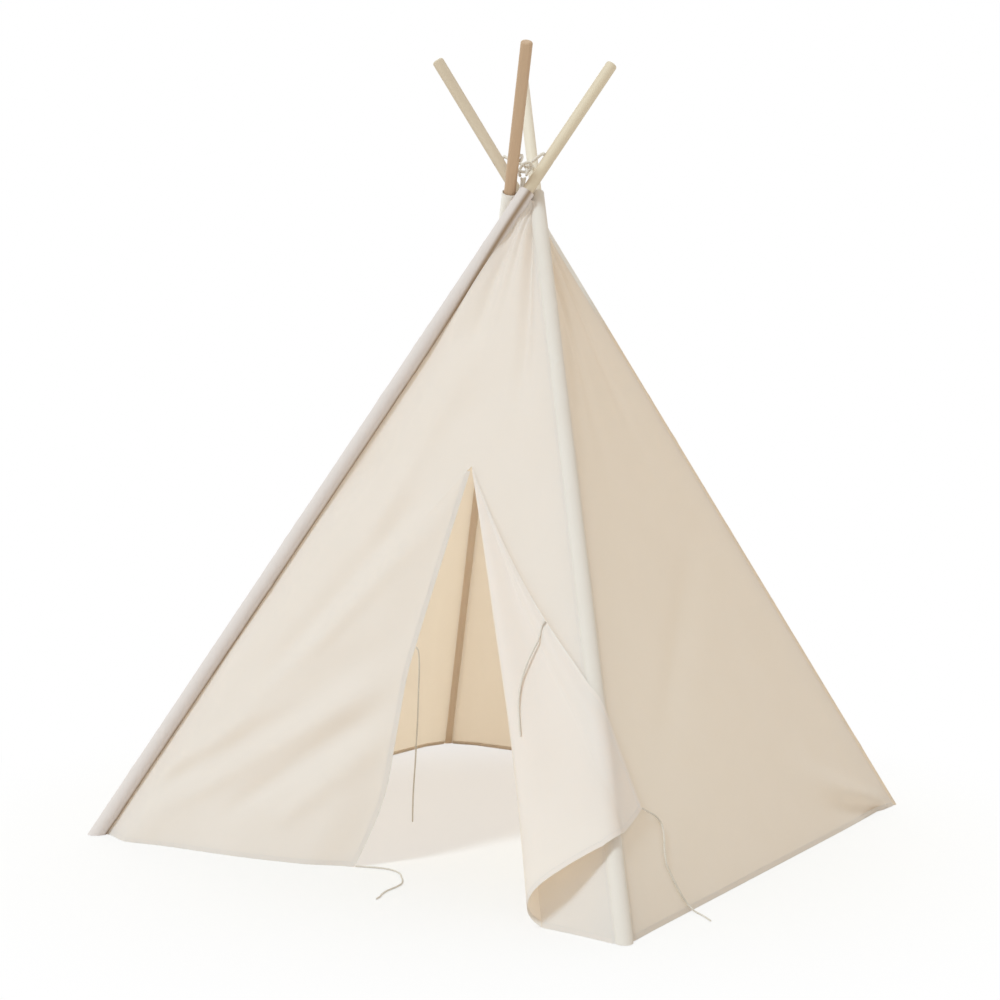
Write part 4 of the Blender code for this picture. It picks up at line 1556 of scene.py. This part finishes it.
@dataclass
class Poles:
    """Four round poles with eased ends, drilled through for the rope."""

    stand: Stand
    lines: dict[Corner, PoleLine]
    finishes: Finishes
    end_round: float = 0.0045
    end_steps: int = 6
    sides: int = 48
    body_steps: int = 60
    sharp_angle: float = math.radians(50)
    warp: float = 0.0006
    warp_share: float = 0.25
    warp_waves: float = 9.0
    hole_radius: float = 0.0036
    hole_sides: int = 24
    mouth_depth: float = 0.0016
    mouth_lip: float = 0.0004
    mouth_spread: Ends = (0.0016, 0.0007)
    cut_past: float = 0.002

    def build(self) -> list[bpy.types.Object]:
        """Makes the four poles."""
        return [self.pole(line) for line in self.lines.values()]

    def pole(self, line: PoleLine) -> bpy.types.Object:
        """One pole, in its own axes so that the grain runs along it.

        Args:
            line: The pole's line.

        Returns:
            The pole.
        """
        stand = self.stand
        tilted = (stand.pole_radius - self.end_round) * math.sin(stand.lean)
        lift = stand.sleeve_cloth + stand.seat_gap + tilted + self.end_round * (1 - math.cos(stand.lean))
        low = lift / math.cos(stand.lean) - stand.hole_reach
        high = stand.pole_past_crossing - stand.hole_past_crossing
        ease = np.linspace(0, math.pi / 2, self.end_steps + 1)
        inset = self.end_round * (1 - np.sin(ease))
        rise = self.end_round * (1 - np.cos(ease))
        body = np.linspace(low + self.end_round, high - self.end_round, self.body_steps)[1:-1]
        heights = np.concatenate([low + rise, body, (high - rise)[::-1]])
        full = np.full(len(body), stand.pole_radius)
        radii = np.concatenate([stand.pole_radius - inset, full, (stand.pole_radius - inset)[::-1]])
        turn = heights * self.warp_waves + 2 * line.corner.value[0]
        draft = MeshDraft()
        draft.lathe(heights, radii - self.warp * self.warp_share * (1 + np.sin(turn)), self.sides)
        name = f"pole_{line.corner.label}"
        made = draft.piece(f"{name}_wood", self.finishes.wood[line.corner], weld=True)
        self.drill(made)
        made.data.set_sharp_from_angle(angle=self.sharp_angle)
        made.matrix_world = line.matrix()
        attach(made, f"leg_{line.corner.label}")
        stand_in(made, name)
        return made

    def drill(self, piece: bpy.types.Object) -> None:
        """Cuts the rope's hole through a pole, with its mouths eased.

        Args:
            piece: The pole, in its own axes.
        """
        mouth = self.stand.pole_radius
        outer = np.array([mouth - self.mouth_depth, mouth - self.mouth_lip, mouth + self.cut_past])
        wide = np.array([0.0, self.mouth_spread[1], self.mouth_spread[0]])
        draft = MeshDraft()
        draft.lathe(
            np.concatenate([-outer[::-1], outer]), self.hole_radius + np.concatenate([wide[::-1], wide]),
            self.hole_sides, axis=0,
        )
        cutter = draft.piece("hole_cutter", piece.data.materials[0], weld=True)
        cut = piece.modifiers.new("rope_hole", "BOOLEAN")
        cut.operation = "DIFFERENCE"
        cut.solver = "EXACT"
        cut.object = cutter
        bpy.context.view_layer.update()
        seen = piece.evaluated_get(bpy.context.evaluated_depsgraph_get())
        drilled = bpy.data.meshes.new_from_object(seen)
        piece.modifiers.clear()
        piece.data = drilled
        bpy.data.objects.remove(cutter, do_unlink=True)


@dataclass
class Sleeves:
    """Sewn cloth tubes round the poles, closed at the floor and open at their tops."""

    stand: Stand
    lines: dict[Corner, PoleLine]
    finishes: Finishes
    sides: int = 44
    rings: int = 300
    lining: float = 0.05
    skin: float = 0.0001
    floor_gap: float = 0.0003
    seam_allowance: float = 0.012
    seed: int = 11
    wrinkles: int = 110
    wrinkle_height: float = 0.0009
    wrinkle_low: float = -0.35
    wrinkle_slant: float = 0.020
    wrinkle_width: Ends = (0.004, 0.012)
    wrinkle_arc: Ends = (0.35, 1.0)
    relief_range: Ends = (-0.0008, 0.0014)
    plain_ends: tuple[int, int] = (60, 200)
    seam_turn: float = math.radians(-24)
    top_seam_turn: float = math.radians(30)
    seam_turn_height: float = 0.35

    def build(self) -> list[bpy.types.Object]:
        """Makes the four sleeves."""
        return [self.sleeve(line) for line in self.lines.values()]

    def relief(self, reach: Array, angle: Array, seed: int) -> Array:
        """Small wrinkles of the tube.

        Args:
            reach: How far along the sleeve.
            angle: The angle round it.
            seed: The sleeve's own number.

        Returns:
            How far the cloth stands off its plain tube.
        """
        chance = np.random.default_rng(seed)
        total = np.zeros(np.broadcast(reach, angle).shape)
        for _ in range(self.wrinkles):
            place = chance.uniform(0.0, self.stand.sleeve_length)
            towards = chance.uniform(0, math.tau)
            slant = chance.uniform(-self.wrinkle_slant, self.wrinkle_slant)
            width = chance.uniform(*self.wrinkle_width)
            arc = chance.uniform(*self.wrinkle_arc)
            high = chance.uniform(self.wrinkle_low, 1.0) * self.wrinkle_height
            off = np.angle(np.exp(1j * (angle - towards)))
            along = (reach - place - slant * off) / width
            total = total + high * np.exp(-(along**2) - (off / arc) ** 2)
        return np.clip(total, *self.relief_range)

    def seam_angle(self, line: PoleLine, reach: Array) -> Array:
        """The angle round the front left sleeve at which the front is sewn on, by how far up.

        Args:
            line: The sleeve's line.
            reach: How far along the sleeve.

        Returns:
            The angles.
        """
        flat = math.atan2(float(line.side[0]), float(line.face[0]))
        low = smooth((self.stand.canvas_top - line.along(reach)[..., 2]) / self.seam_turn_height)
        return flat - mix(self.top_seam_turn, self.seam_turn, low)

    def sleeve(self, line: PoleLine) -> bpy.types.Object:
        """One sleeve: its outside, its rolled top and a short way down inside.

        Args:
            line: The line of the sleeve's pole.

        Returns:
            The sleeve.
        """
        stand = self.stand
        length, outer = stand.sleeve_length, stand.sleeve_outer
        turns = np.arange(self.sides + 1) / self.sides
        share = np.linspace(0, 1, self.rings)[:, None]
        start = np.full_like(share, math.pi)
        # Each sleeve takes a copy of the canvas tinted for the light on it: painted light on the two back
        # sleeves, painted shade on the two front ones.
        finish = self.finishes.back_sleeve_painted_light
        if line.corner is Corner.FRONT_RIGHT:
            finish = self.finishes.lined_painted_shade
        elif line.corner is Corner.FRONT_LEFT:
            finish = self.finishes.shaded
            # The front left sleeve's cloth starts at its seam, so that the painted shade band of its finish
            # lies in the groove beside the front.
            start = self.seam_angle(line, share * length)
        angle = start + math.tau * turns
        foot = self.floor_gap - outer * np.cos(angle[0]) * math.sin(stand.lean)
        reach = mix(foot[None] / math.cos(stand.lean), length, share)
        low, high = self.plain_ends
        relief = self.relief(reach, angle, self.seed + list(Corner).index(line.corner))
        radius = outer + self.skin + relief * (smooth(share * low) * smooth((1 - share) * high))
        outside = line.round(reach, angle, radius)
        lip = (
            (0.0006, 0.0003), (0.0009, -0.0004), (0.0006, -0.0011), (0.0, -0.0015), (-self.lining, -0.0015),
        )
        inside = [line.round(length + rise, angle[-1], outer + step) for rise, step in lip]
        lip_run = [0.001, 0.002, 0.003, 0.004, self.lining + 0.005]
        ups = np.concatenate([reach[:, 0], length + np.array(lip_run)])
        draft = MeshDraft()
        cloth = np.stack(np.meshgrid(turns * math.tau * outer, ups), axis=-1)
        draft.grid(np.concatenate([outside, np.stack(inside)]), cloth)
        draft.fan(outside[0, :-1], outside[0, :-1].mean(axis=0), flip=True)
        name = f"sleeve_{line.corner.label}"
        made = draft.piece(f"{name}_cloth", finish)
        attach(made, f"leg_{line.corner.label}")
        stand_in(made, name)
        flat = (math.tau * outer + self.seam_allowance, length)
        return made


@dataclass
class Panels:
    """The four canvas sides with their hems and stitching."""

    stand: Stand
    surfaces: dict[Wall, WallSurface]
    door: Door
    finishes: Finishes
    columns: int = 110
    rows: int = 130
    stitch: StitchRow = StitchRow()
    hem: HemBand = HemBand()
    seam_inset: float = 0.0055
    seam_start: float = 0.004
    seam_points: int = 300
    hem_points: int = 140
    hem_step: float = 0.02
    probe: float = 0.002
    crowding: float = 1.25
    end_gap: float = 0.005
    slit_gap: float = 0.002
    front_rows: tuple[int, int] = (92, 74)
    front_columns: int = 60
    flat: Ends = (1.13, 1.34)
    area: float = 0.78
    front_area: float = 0.46

    def build(self) -> list[bpy.types.Object]:
        """Makes every side."""
        made = [self.plain(self.surfaces[wall]) for wall in (Wall.RIGHT, Wall.BACK, Wall.LEFT)]
        return [self.front(), *made]

    def heights(self, low: float, high: float, rows: int) -> Array:
        """Heights of rows, closer near the top where the folds gather."""
        return mix(low, high, 1 - (1 - np.linspace(0, 1, rows)) ** self.crowding)

    def trim(self, surface: WallSurface, spans: Sequence[Ends]) -> tuple[MeshDraft, MeshDraft]:
        """The hem bands of a side, and its stitching along the hem and beside both sleeves.

        Args:
            surface: The side's surface.
            spans: Stretches of the hem, as shares across.

        Returns:
            The bands and the stitches.
        """
        bands, stitches = MeshDraft(), MeshDraft()
        low = self.stand.hem_height
        out = np.cross(surface.along, unit(surface.point(0.5, 0.5) - surface.point(0.5, 0.2)))
        for first, last in spans:
            across = np.linspace(first, last, max(8, int(abs(last - first) * self.hem_points)))
            edge = surface.point(across, low)
            inner = surface.point(across, low + self.hem_step)
            self.stitch.add(stitches, *self.hem.add(bands, edge, inner, np.broadcast_to(out, edge.shape)))
        height = np.linspace(low + self.seam_start, self.stand.canvas_top, self.seam_points)
        inset = self.seam_inset / surface.width(height)
        for across in (inset, 1 - inset):
            seam = surface.point(across, height)
            ahead = surface.point(across, height + self.probe) - seam
            beside = surface.point(across + self.probe, height) - surface.point(across - self.probe, height)
            self.stitch.add(stitches, seam, unit(np.cross(beside, ahead)))
        return bands, stitches

    def dress(self, surface: WallSurface, sheet: bpy.types.Object, spans: Sequence[Ends]) -> bpy.types.Object:
        """Sews a side's hem and seams, and hangs it between its sleeves.

        Args:
            surface: The side's surface.
            sheet: The canvas.
            spans: Stretches of its hem, as shares across.

        Returns:
            The canvas.
        """
        label = surface.wall.label
        bands, stitches = self.trim(surface, spans)
        # The front's hem bands take the lighter hem copy of the canvas, painted light; the other sides' hems
        # take the plain canvas.
        hemmed = self.finishes.hemmed if surface.wall is Wall.FRONT else self.finishes.canvas
        hem = bands.piece(f"hem_{label}", hemmed)
        rows = stitches.piece(f"stitches_{label}", self.finishes.thread)
        return Soft(surface.wall).hang(
            (sheet, hem, rows), f"side_{label}", f"panel_{label}",
        )

    def plain(self, surface: WallSurface) -> bpy.types.Object:
        """One whole side.

        Args:
            surface: The side's surface.

        Returns:
            The canvas.
        """
        low, high = self.stand.hem_height, self.stand.canvas_top
        height = self.heights(low, high, self.rows)[:, None]
        across = np.linspace(0, 1, self.columns)[None] + 0 * height
        height = height + 0 * across
        draft = MeshDraft()
        draft.grid(surface.point(across, height), surface.cloth_place(across, height))
        sheet = draft.piece(f"canvas_{surface.wall.label}", self.finishes.canvas)
        return self.dress(surface, sheet, [(self.end_gap, 1 - self.end_gap)])

    def front(self) -> bpy.types.Object:
        """The front, one piece of canvas with the door cut out of it up to the slit's top.

        Returns:
            The canvas.
        """
        surface, door = self.surfaces[Wall.FRONT], self.door
        rows_below, rows_above = self.front_rows
        below = np.linspace(1, 0, rows_below)[:, None]
        left_x, height = door.line(door.left_fold_x, below)
        right_x, _ = door.line(door.right_fold_x, below)
        right_x = right_x + door.right_edge_bow(below)
        split = surface.share(np.array(door.top_x), np.array(door.top_height))
        above = self.heights(door.top_height, self.stand.canvas_top, rows_above)[:, None]
        out = np.linspace(0, 1, self.front_columns)[None]
        parts = (
            (surface.share(left_x, height) * out, height + 0 * out),
            (mix(surface.share(right_x, height), 1, out), height + 0 * out),
            (split * out + 0 * above, above + 0 * out),
            (mix(split, 1, out) + 0 * above, above + 0 * out),
        )
        draft = MeshDraft()
        for across, level in parts:
            draft.grid(surface.point(across, level), surface.cloth_place(across, level))
        sheet = draft.piece("canvas_front", self.finishes.front_painted_light, weld=True)
        low = np.array(self.stand.hem_height)
        left_end = float(surface.share(np.array(door.left_fold_x), low)) - self.slit_gap
        right_start = float(surface.share(np.array(door.right_fold_x), low)) + self.slit_gap
        spans = [(self.end_gap, left_end), (right_start, 1 - self.end_gap)]
        return self.dress(surface, sheet, spans)


@dataclass
class Flaps:
    """The two door flaps, with hems along their feet and free edges."""

    stand: Stand
    door: Door
    finishes: Finishes
    rows: int = 96
    columns: int = 110
    stitch: StitchRow = StitchRow()
    hem: HemBand = HemBand(thickness=0.0008)
    start_share: float = 0.4
    drop: float = 0.79

    def build(self) -> list[bpy.types.Object]:
        """Makes both flaps.

        Returns:
            The flaps' canvas.
        """
        return [
            self.flap("left", self.door.left_point),
            self.flap("right", self.door.right_point),
        ]

    def flap(self, side: str, shape: Any) -> bpy.types.Object:
        """One flap.

        Args:
            side: Left or right.
            shape: The flap's surface, from shares down and out.

        Returns:
            The flap's sheet.
        """
        down = np.linspace(1, self.door.top_share * self.start_share, self.rows)[:, None]
        out = np.linspace(0, 1, self.columns)[None]
        points = shape(down, out)
        run = np.stack([reaches(row) for row in points])
        draft, bands, stitches = MeshDraft(), MeshDraft(), MeshDraft()
        draft.grid(points, np.stack([run, (1 - down) * self.drop + 0 * out], axis=-1))
        normals = unit(np.cross(np.gradient(points, axis=1), np.gradient(points, axis=0)))
        edges = (
            (points[0, 1:], points[2, 1:], normals[0, 1:]),
            (points[1:, -1], points[1:, -3], normals[1:, -1]),
        )
        for row in [self.hem.add(bands, *edge) for edge in edges]:
            self.stitch.add(stitches, *row)
        # The right flap takes its paler copy of the canvas and the left flap the front's lighter copy:
        # painted light on both.
        finish = self.finishes.folded if side == "right" else self.finishes.front_painted_light
        parts = (
            draft.piece(f"flap_{side}", finish), bands.piece(f"flap_{side}_hem", self.finishes.hemmed),
            stitches.piece(f"flap_{side}_stitches", self.finishes.thread),
        )
        return Soft(Wall.FRONT).hang(
            parts, f"flap_{side}", f"door_flap_{side}",
        )


@dataclass(frozen=True)
class TieRoute:
    """One tie cord: its body, and the points along it."""

    body: str
    points: tuple[Point, ...]


TIES: dict[str, TieRoute] = {
    "tie_left_mid": TieRoute("flap_left", (
        (0.0184, -0.3628, 0.3878), (0.0207, -0.3617, 0.3852), (0.0224, -0.3603, 0.3790),
        (0.0230, -0.3590, 0.3660), (0.0225, -0.3575, 0.3480), (0.0212, -0.3565, 0.3280),
        (0.0200, -0.3558, 0.3050), (0.0190, -0.3552, 0.2800), (0.0180, -0.3548, 0.2550),
        (0.0165, -0.3545, 0.2300), (0.0150, -0.3545, 0.2050), (0.0138, -0.3545, 0.1800),
        (0.0120, -0.3545, 0.1550), (0.0102, -0.3545, 0.1300), (0.0090, -0.3545, 0.1050),
        (0.0085, -0.3545, 0.0820), (0.0085, -0.3545, 0.0630),
    )),
    "tie_left_bottom": TieRoute("flap_left", (
        (-0.0278, -0.4756, 0.0018), (-0.0225, -0.4734, 0.0018), (-0.0090, -0.4678, 0.0018),
        (0.0120, -0.4600, 0.0018), (0.0310, -0.4570, 0.0018), (0.0500, -0.4600, 0.0018),
        (0.0680, -0.4700, 0.0018), (0.0820, -0.4850, 0.0018), (0.0960, -0.5000, 0.0018),
        (0.1080, -0.5200, 0.0018), (0.1120, -0.5420, 0.0018), (0.1130, -0.5640, 0.0018),
        (0.1180, -0.5850, 0.0018), (0.1250, -0.6010, 0.0018), (0.1280, -0.6150, 0.0018),
    )),
    "tie_right_mid": TieRoute("flap_right", (
        (0.3040, -0.3800, 0.4580), (0.3020, -0.3820, 0.4550), (0.3020, -0.3881, 0.4470),
        (0.3033, -0.3984, 0.4289), (0.3022, -0.4107, 0.4139), (0.3018, -0.4254, 0.3981),
        (0.3026, -0.4388, 0.3829), (0.3043, -0.4508, 0.3675), (0.3075, -0.4614, 0.3521),
        (0.3122, -0.4716, 0.3371), (0.3160, -0.4786, 0.3259), (0.3206, -0.4847, 0.3146),
        (0.3260, -0.4911, 0.3034), (0.3311, -0.4973, 0.2927), (0.3365, -0.5031, 0.2819),
    )),
    "tie_right_bottom": TieRoute("flap_right", (
        (0.5178, -0.4175, 0.1705), (0.5184, -0.4120, 0.1680), (0.5188, -0.4040, 0.1640),
        (0.5192, -0.3900, 0.1580), (0.5205, -0.3760, 0.1510),
        (0.5245, -0.3670, 0.1410), (0.5295, -0.3660, 0.1300), (0.5360, -0.3730, 0.1160),
        (0.5425, -0.3840, 0.1020), (0.5480, -0.3910, 0.0900), (0.5535, -0.3950, 0.0780),
        (0.5595, -0.3935, 0.0650), (0.5660, -0.3905, 0.0510), (0.5720, -0.3870, 0.0380),
        (0.5780, -0.3825, 0.0250), (0.5850, -0.3760, 0.0120), (0.5940, -0.3740, 0.0035),
        (0.6070, -0.3790, 0.0018), (0.6230, -0.3900, 0.0018), (0.6390, -0.4030, 0.0018),
    )),
}


@dataclass
class TieCords:
    """The four cords that hold the flaps open or shut."""

    finishes: Finishes
    route_step: float = 0.0078
    make: TwistedCord = TwistedCord(0.003, 2, turn_diameters=2.8, groove=0.16, step=0.0006)

    def build(self) -> list[bpy.types.Object]:
        """Makes the four cords."""
        return [self.tie(name, route) for name, route in TIES.items()]

    def tie(self, name: str, route: TieRoute) -> bpy.types.Object:
        """One cord.

        Args:
            name: The node's name.
            route: Its route.

        Returns:
            The cord.
        """
        path = smooth_route(route.points, self.route_step)
        made = self.make.draft(path).piece(f"{name}_cord", self.finishes.cord, weld=True)
        Soft(Wall.FRONT).follow(made, route.body)
        stand_in(made, name)
        return made


TAILS: dict[str, tuple[Point, ...]] = {
    "lashing_tail_long": (
        (0.0062, -0.0017, -0.0156), (0.0050, -0.0018, -0.0180), (0.0042, -0.0026, -0.0215),
        (0.0044, -0.0040, -0.0270), (0.0050, -0.0052, -0.0330), (0.0050, -0.0062, -0.0395),
        (0.0040, -0.0068, -0.0465), (0.0025, -0.0072, -0.0535), (0.0012, -0.0076, -0.0600),
    ),
    "lashing_tail_short": (
        (-0.0062, 0.0017, -0.0156), (-0.0050, 0.0018, -0.0180), (-0.0042, 0.0026, -0.0215),
        (-0.0052, 0.0028, -0.0265), (-0.0064, 0.0022, -0.0315), (-0.0074, 0.0012, -0.0365),
        (-0.0080, 0.0002, -0.0415), (-0.0082, -0.0004, -0.0470), (-0.0080, -0.0006, -0.0545),
    ),
}


@dataclass
class Lashing:
    """The rope through the four poles, its knot and its two tails."""

    stand: Stand
    lines: dict[Corner, PoleLine]
    finishes: Finishes
    rope: TwistedCord = TwistedCord(0.006, 3, turn_diameters=3.0, groove=0.16)
    knot_step: float = 0.002
    stretch_step: float = 0.003
    end_inset: float = 0.0025
    exit_run: float = 0.0012
    side_turn: float = math.radians(70)
    side_steps: int = 4
    side_drop: float = 0.009
    over_crossing: float = 0.052
    lobe: float = 0.0057
    rise: float = 0.0062
    open_share: float = 0.10
    steps: int = 48
    face: float = math.radians(32)
    turn: float = math.radians(-120)

    @property
    def centre(self) -> Array:
        """The middle of the knot."""
        return np.array([0, 0, self.stand.crossing_height + self.over_crossing])

    def build(self) -> list[bpy.types.Object]:
        """Makes the rope's stretches, knot and tails.

        Returns:
            The pieces of rope.
        """
        knot = self.knot_path()
        made = self.laid("rope_knot", smooth_route(knot, self.knot_step))
        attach(made, "lashing")
        stand_in(made, "lashing_knot")
        stretches = [self.stretch(line, knot) for line in self.lines.values()]
        return [made, *stretches, *(self.tail(name, points) for name, points in TAILS.items())]

    def laid(self, name: str, path: Array) -> bpy.types.Object:
        """A piece of rope along a path."""
        return self.rope.draft(path).piece(name, self.finishes.rope, weld=True)

    def knot_path(self) -> Array:
        """An overhand knot's path, left open at one lobe for the rope's two ends.

        Returns:
            The points.
        """
        upright = Matrix.Rotation(self.face, 3, "Z") @ Matrix.Rotation(math.pi / 2, 3, "X")
        axes = np.array(upright @ Matrix.Rotation(self.turn, 3, "Z"))
        start = math.pi / 3 + math.pi * self.open_share
        span = math.tau - math.tau * self.open_share
        angle = start + span * np.arange(self.steps + 1) / self.steps
        path = np.stack([
            self.lobe * (np.sin(angle) + 2 * np.sin(2 * angle)),
            self.lobe * (np.cos(angle) - 2 * np.cos(2 * angle)),
            -self.rise * np.sin(3 * angle),
        ], axis=1)
        return self.centre + path @ axes.T

    def stretch(self, line: PoleLine, knot: Array) -> bpy.types.Object:
        """The rope from the knot, close beside a pole, into its hole.

        Args:
            line: The pole's line.
            knot: The knot's path.

        Returns:
            The stretch.
        """
        stand, reach, near, half = self.stand, self.stand.hole_reach, line.hole_turn, self.rope.diameter / 2
        beside = stand.pole_radius + stand.seat_gap + half
        mouth = line.round(reach, near, beside + self.exit_run)
        way_in = [mouth]
        for step in range(1, self.side_steps + 1 if near else 1):
            share = step / self.side_steps
            angle = near + self.side_turn * float(smooth(share))
            low = reach - self.side_drop * (1 + share)
            way_in.insert(0, line.round(low, angle, beside + self.exit_run / 2 + stand.seat_gap))
        way = unit(way_in[0] - self.centre)
        nearest = knot[np.argmax((knot - self.centre) @ way)]
        points = [nearest + way * (half + 2 * stand.seat_gap), *way_in]
        points += [line.round(reach, near, stand.pole_radius), line.round(reach, near, 0)]
        points.append(line.round(reach, near + math.pi, stand.pole_radius - self.end_inset))
        name = f"rope_{line.corner.label}"
        made = self.laid(f"{name}_laid", smooth_route(points, self.stretch_step))
        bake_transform(made)
        stand_in(made, name)
        return made

    def tail(self, name: str, points: tuple[Point, ...]) -> bpy.types.Object:
        """One hanging end of the rope.

        Args:
            name: The node's name.
            points: Its route from the knot's middle.

        Returns:
            The tail.
        """
        diameter = self.rope.diameter
        path = smooth_route([self.centre + np.array(point) for point in points], diameter)
        made = self.laid(f"{name}_laid", path)
        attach(made, "lashing")
        stand_in(made, name)
        return made


# Studio


@dataclass(frozen=True)
class Lamp:
    """One soft, distant lamp: its strength, the way to it, how wide it looks, and its colour."""

    name: str
    strength: float
    towards: Point
    width: float
    colour: Colour

    def build(self) -> None:
        """Hangs the lamp."""
        data = bpy.data.lights.new(self.name, "SUN")
        data.energy = self.strength
        data.angle = self.width
        data.color = self.colour
        lamp = bpy.data.objects.new(self.name, data)
        lamp.rotation_euler = Vector(self.towards).to_track_quat("Z", "Y").to_euler()
        bpy.context.scene.collection.objects.link(lamp)


LAMPS = (
    Lamp("key", 1.63, (-0.15, -0.55, 0.82), math.radians(11), (0.755, 0.905, 1.0)),
    Lamp("back", 0.64, (-0.45, 0.75, 0.55), math.radians(60), (1.0, 0.98, 0.94)),
)


@dataclass
class Studio:
    """The camera, the lights, the floor and the white surroundings."""

    place: Point = (1.7566, -2.7134, 0.7763)
    azimuth: float = 0.5641974
    elevation: float = 0.0739373
    roll: float = 0.0151619
    sensor: float = 36
    lens: float = 58.485
    shift: Ends = (-0.0345756, 0.0532524)
    clip_end: float = 50
    sky: float = 0.62
    sky_colour: Colour = (1.0, 0.922, 0.805)
    floor_size: float = 14.0
    floor_drop: float = 0.0004
    floor_colour: Colour = (0.90, 0.882, 0.856)
    floor_white: float = 0.47
    white_from: Ends = (0.35, 1.3)

    def build(self) -> None:
        """Sets up the whole studio."""
        bpy.context.scene.view_settings.view_transform = "Standard"
        self.camera()
        self.surroundings()
        for lamp in LAMPS:
            lamp.build()
        self.floor()

    def camera(self) -> None:
        """The camera at the photograph's viewpoint."""
        az, el, roll = self.azimuth, self.elevation, self.roll
        ahead = Vector((-math.sin(az) * math.cos(el), math.cos(az) * math.cos(el), -math.sin(el)))
        right = Vector((math.cos(az), math.sin(az), 0))
        up = right.cross(ahead)
        across = right * math.cos(roll) + up * math.sin(roll)
        upward = up * math.cos(roll) - right * math.sin(roll)
        data = bpy.data.cameras.new("camera")
        data.sensor_width = self.sensor
        data.lens = self.lens
        data.shift_x, data.shift_y = self.shift
        data.clip_end = self.clip_end
        camera = bpy.data.objects.new("camera", data)
        turn = Matrix((across, upward, -ahead)).transposed().to_4x4()
        camera.matrix_world = Matrix.Translation(self.place) @ turn
        bpy.context.scene.collection.objects.link(camera)
        bpy.context.scene.camera = camera

    def surroundings(self) -> None:
        """An even white sky: plain for the light, full white where it is seen."""
        world = bpy.data.worlds.new("studio")
        world.use_nodes = True
        bpy.context.scene.world = world
        graph = Graph(world.node_tree)
        seen = graph.seen_by("Camera", "Glossy", "Transmission")
        share = graph.value("ShaderNodeMath", {"operation": "MINIMUM"}, {0: seen, 1: 1.0})
        sky = {"Color": (*self.sky_colour, 1), "Strength": self.sky}
        lit = graph.value("ShaderNodeBackground", None, sky)
        shown = graph.value("ShaderNodeBackground", None, {"Color": (1, 1, 1, 1), "Strength": 1.0})
        both = graph.value("ShaderNodeMixShader", None, {0: share, 1: lit, 2: shown})
        graph.finish(both, "World")

    def floor(self) -> None:
        """A pale floor that keeps the teepee's soft shadow and goes white away from it."""
        material, graph = new_material("studio_floor")
        seen = graph.seen_by("Camera", "Glossy")
        place = {0: graph.object_place()}
        away = graph.value("ShaderNodeVectorMath", {"operation": "LENGTH"}, place, "Value")
        share = (away.ramp(*self.white_from) * (1 - self.floor_white) + self.floor_white) * seen
        paint = graph.value("ShaderNodeBsdfDiffuse", None, {"Color": (*self.floor_colour, 1)})
        white = graph.value("ShaderNodeEmission", None, {"Color": (1, 1, 1, 1), "Strength": 1.0})
        graph.finish(graph.value("ShaderNodeMixShader", None, {0: share, 1: paint, 2: white}))
        half = self.floor_size / 2
        mesh = bpy.data.meshes.new("studio_floor")
        corners = [(-half, -half, 0), (half, -half, 0), (half, half, 0), (-half, half, 0)]
        mesh.from_pydata(corners, [], [(0, 1, 2, 3)])
        mesh.materials.append(material)
        floor = bpy.data.objects.new("studio_floor", mesh)
        floor.location.z = -self.floor_drop
        bpy.context.scene.collection.objects.link(floor)


def main() -> None:
    """Builds the teepee and its studio."""
    logging.basicConfig(level=logging.INFO, format="%(message)s")
    stand = Stand()
    lines = {corner: PoleLine(stand, corner) for corner in Corner}
    surfaces = {wall: WallSurface(stand, wall, lines) for wall in Wall}
    door = Door(stand, surfaces[Wall.FRONT], surfaces[Wall.RIGHT])
    finishes = Finishes.make(math.tau * stand.sleeve_outer)
    Studio().build()
    for assembly in (
        TieCords(finishes),
        Lashing(stand, lines, finishes),
        Poles(stand, lines, finishes),
        Sleeves(stand, lines, finishes),
        Panels(stand, surfaces, door, finishes),
        Flaps(stand, door, finishes),
    ):
        pieces = assembly.build()
        LOG.info("%s: %d pieces", type(assembly).__name__, len(pieces))


if __name__ == "__main__":
    main()
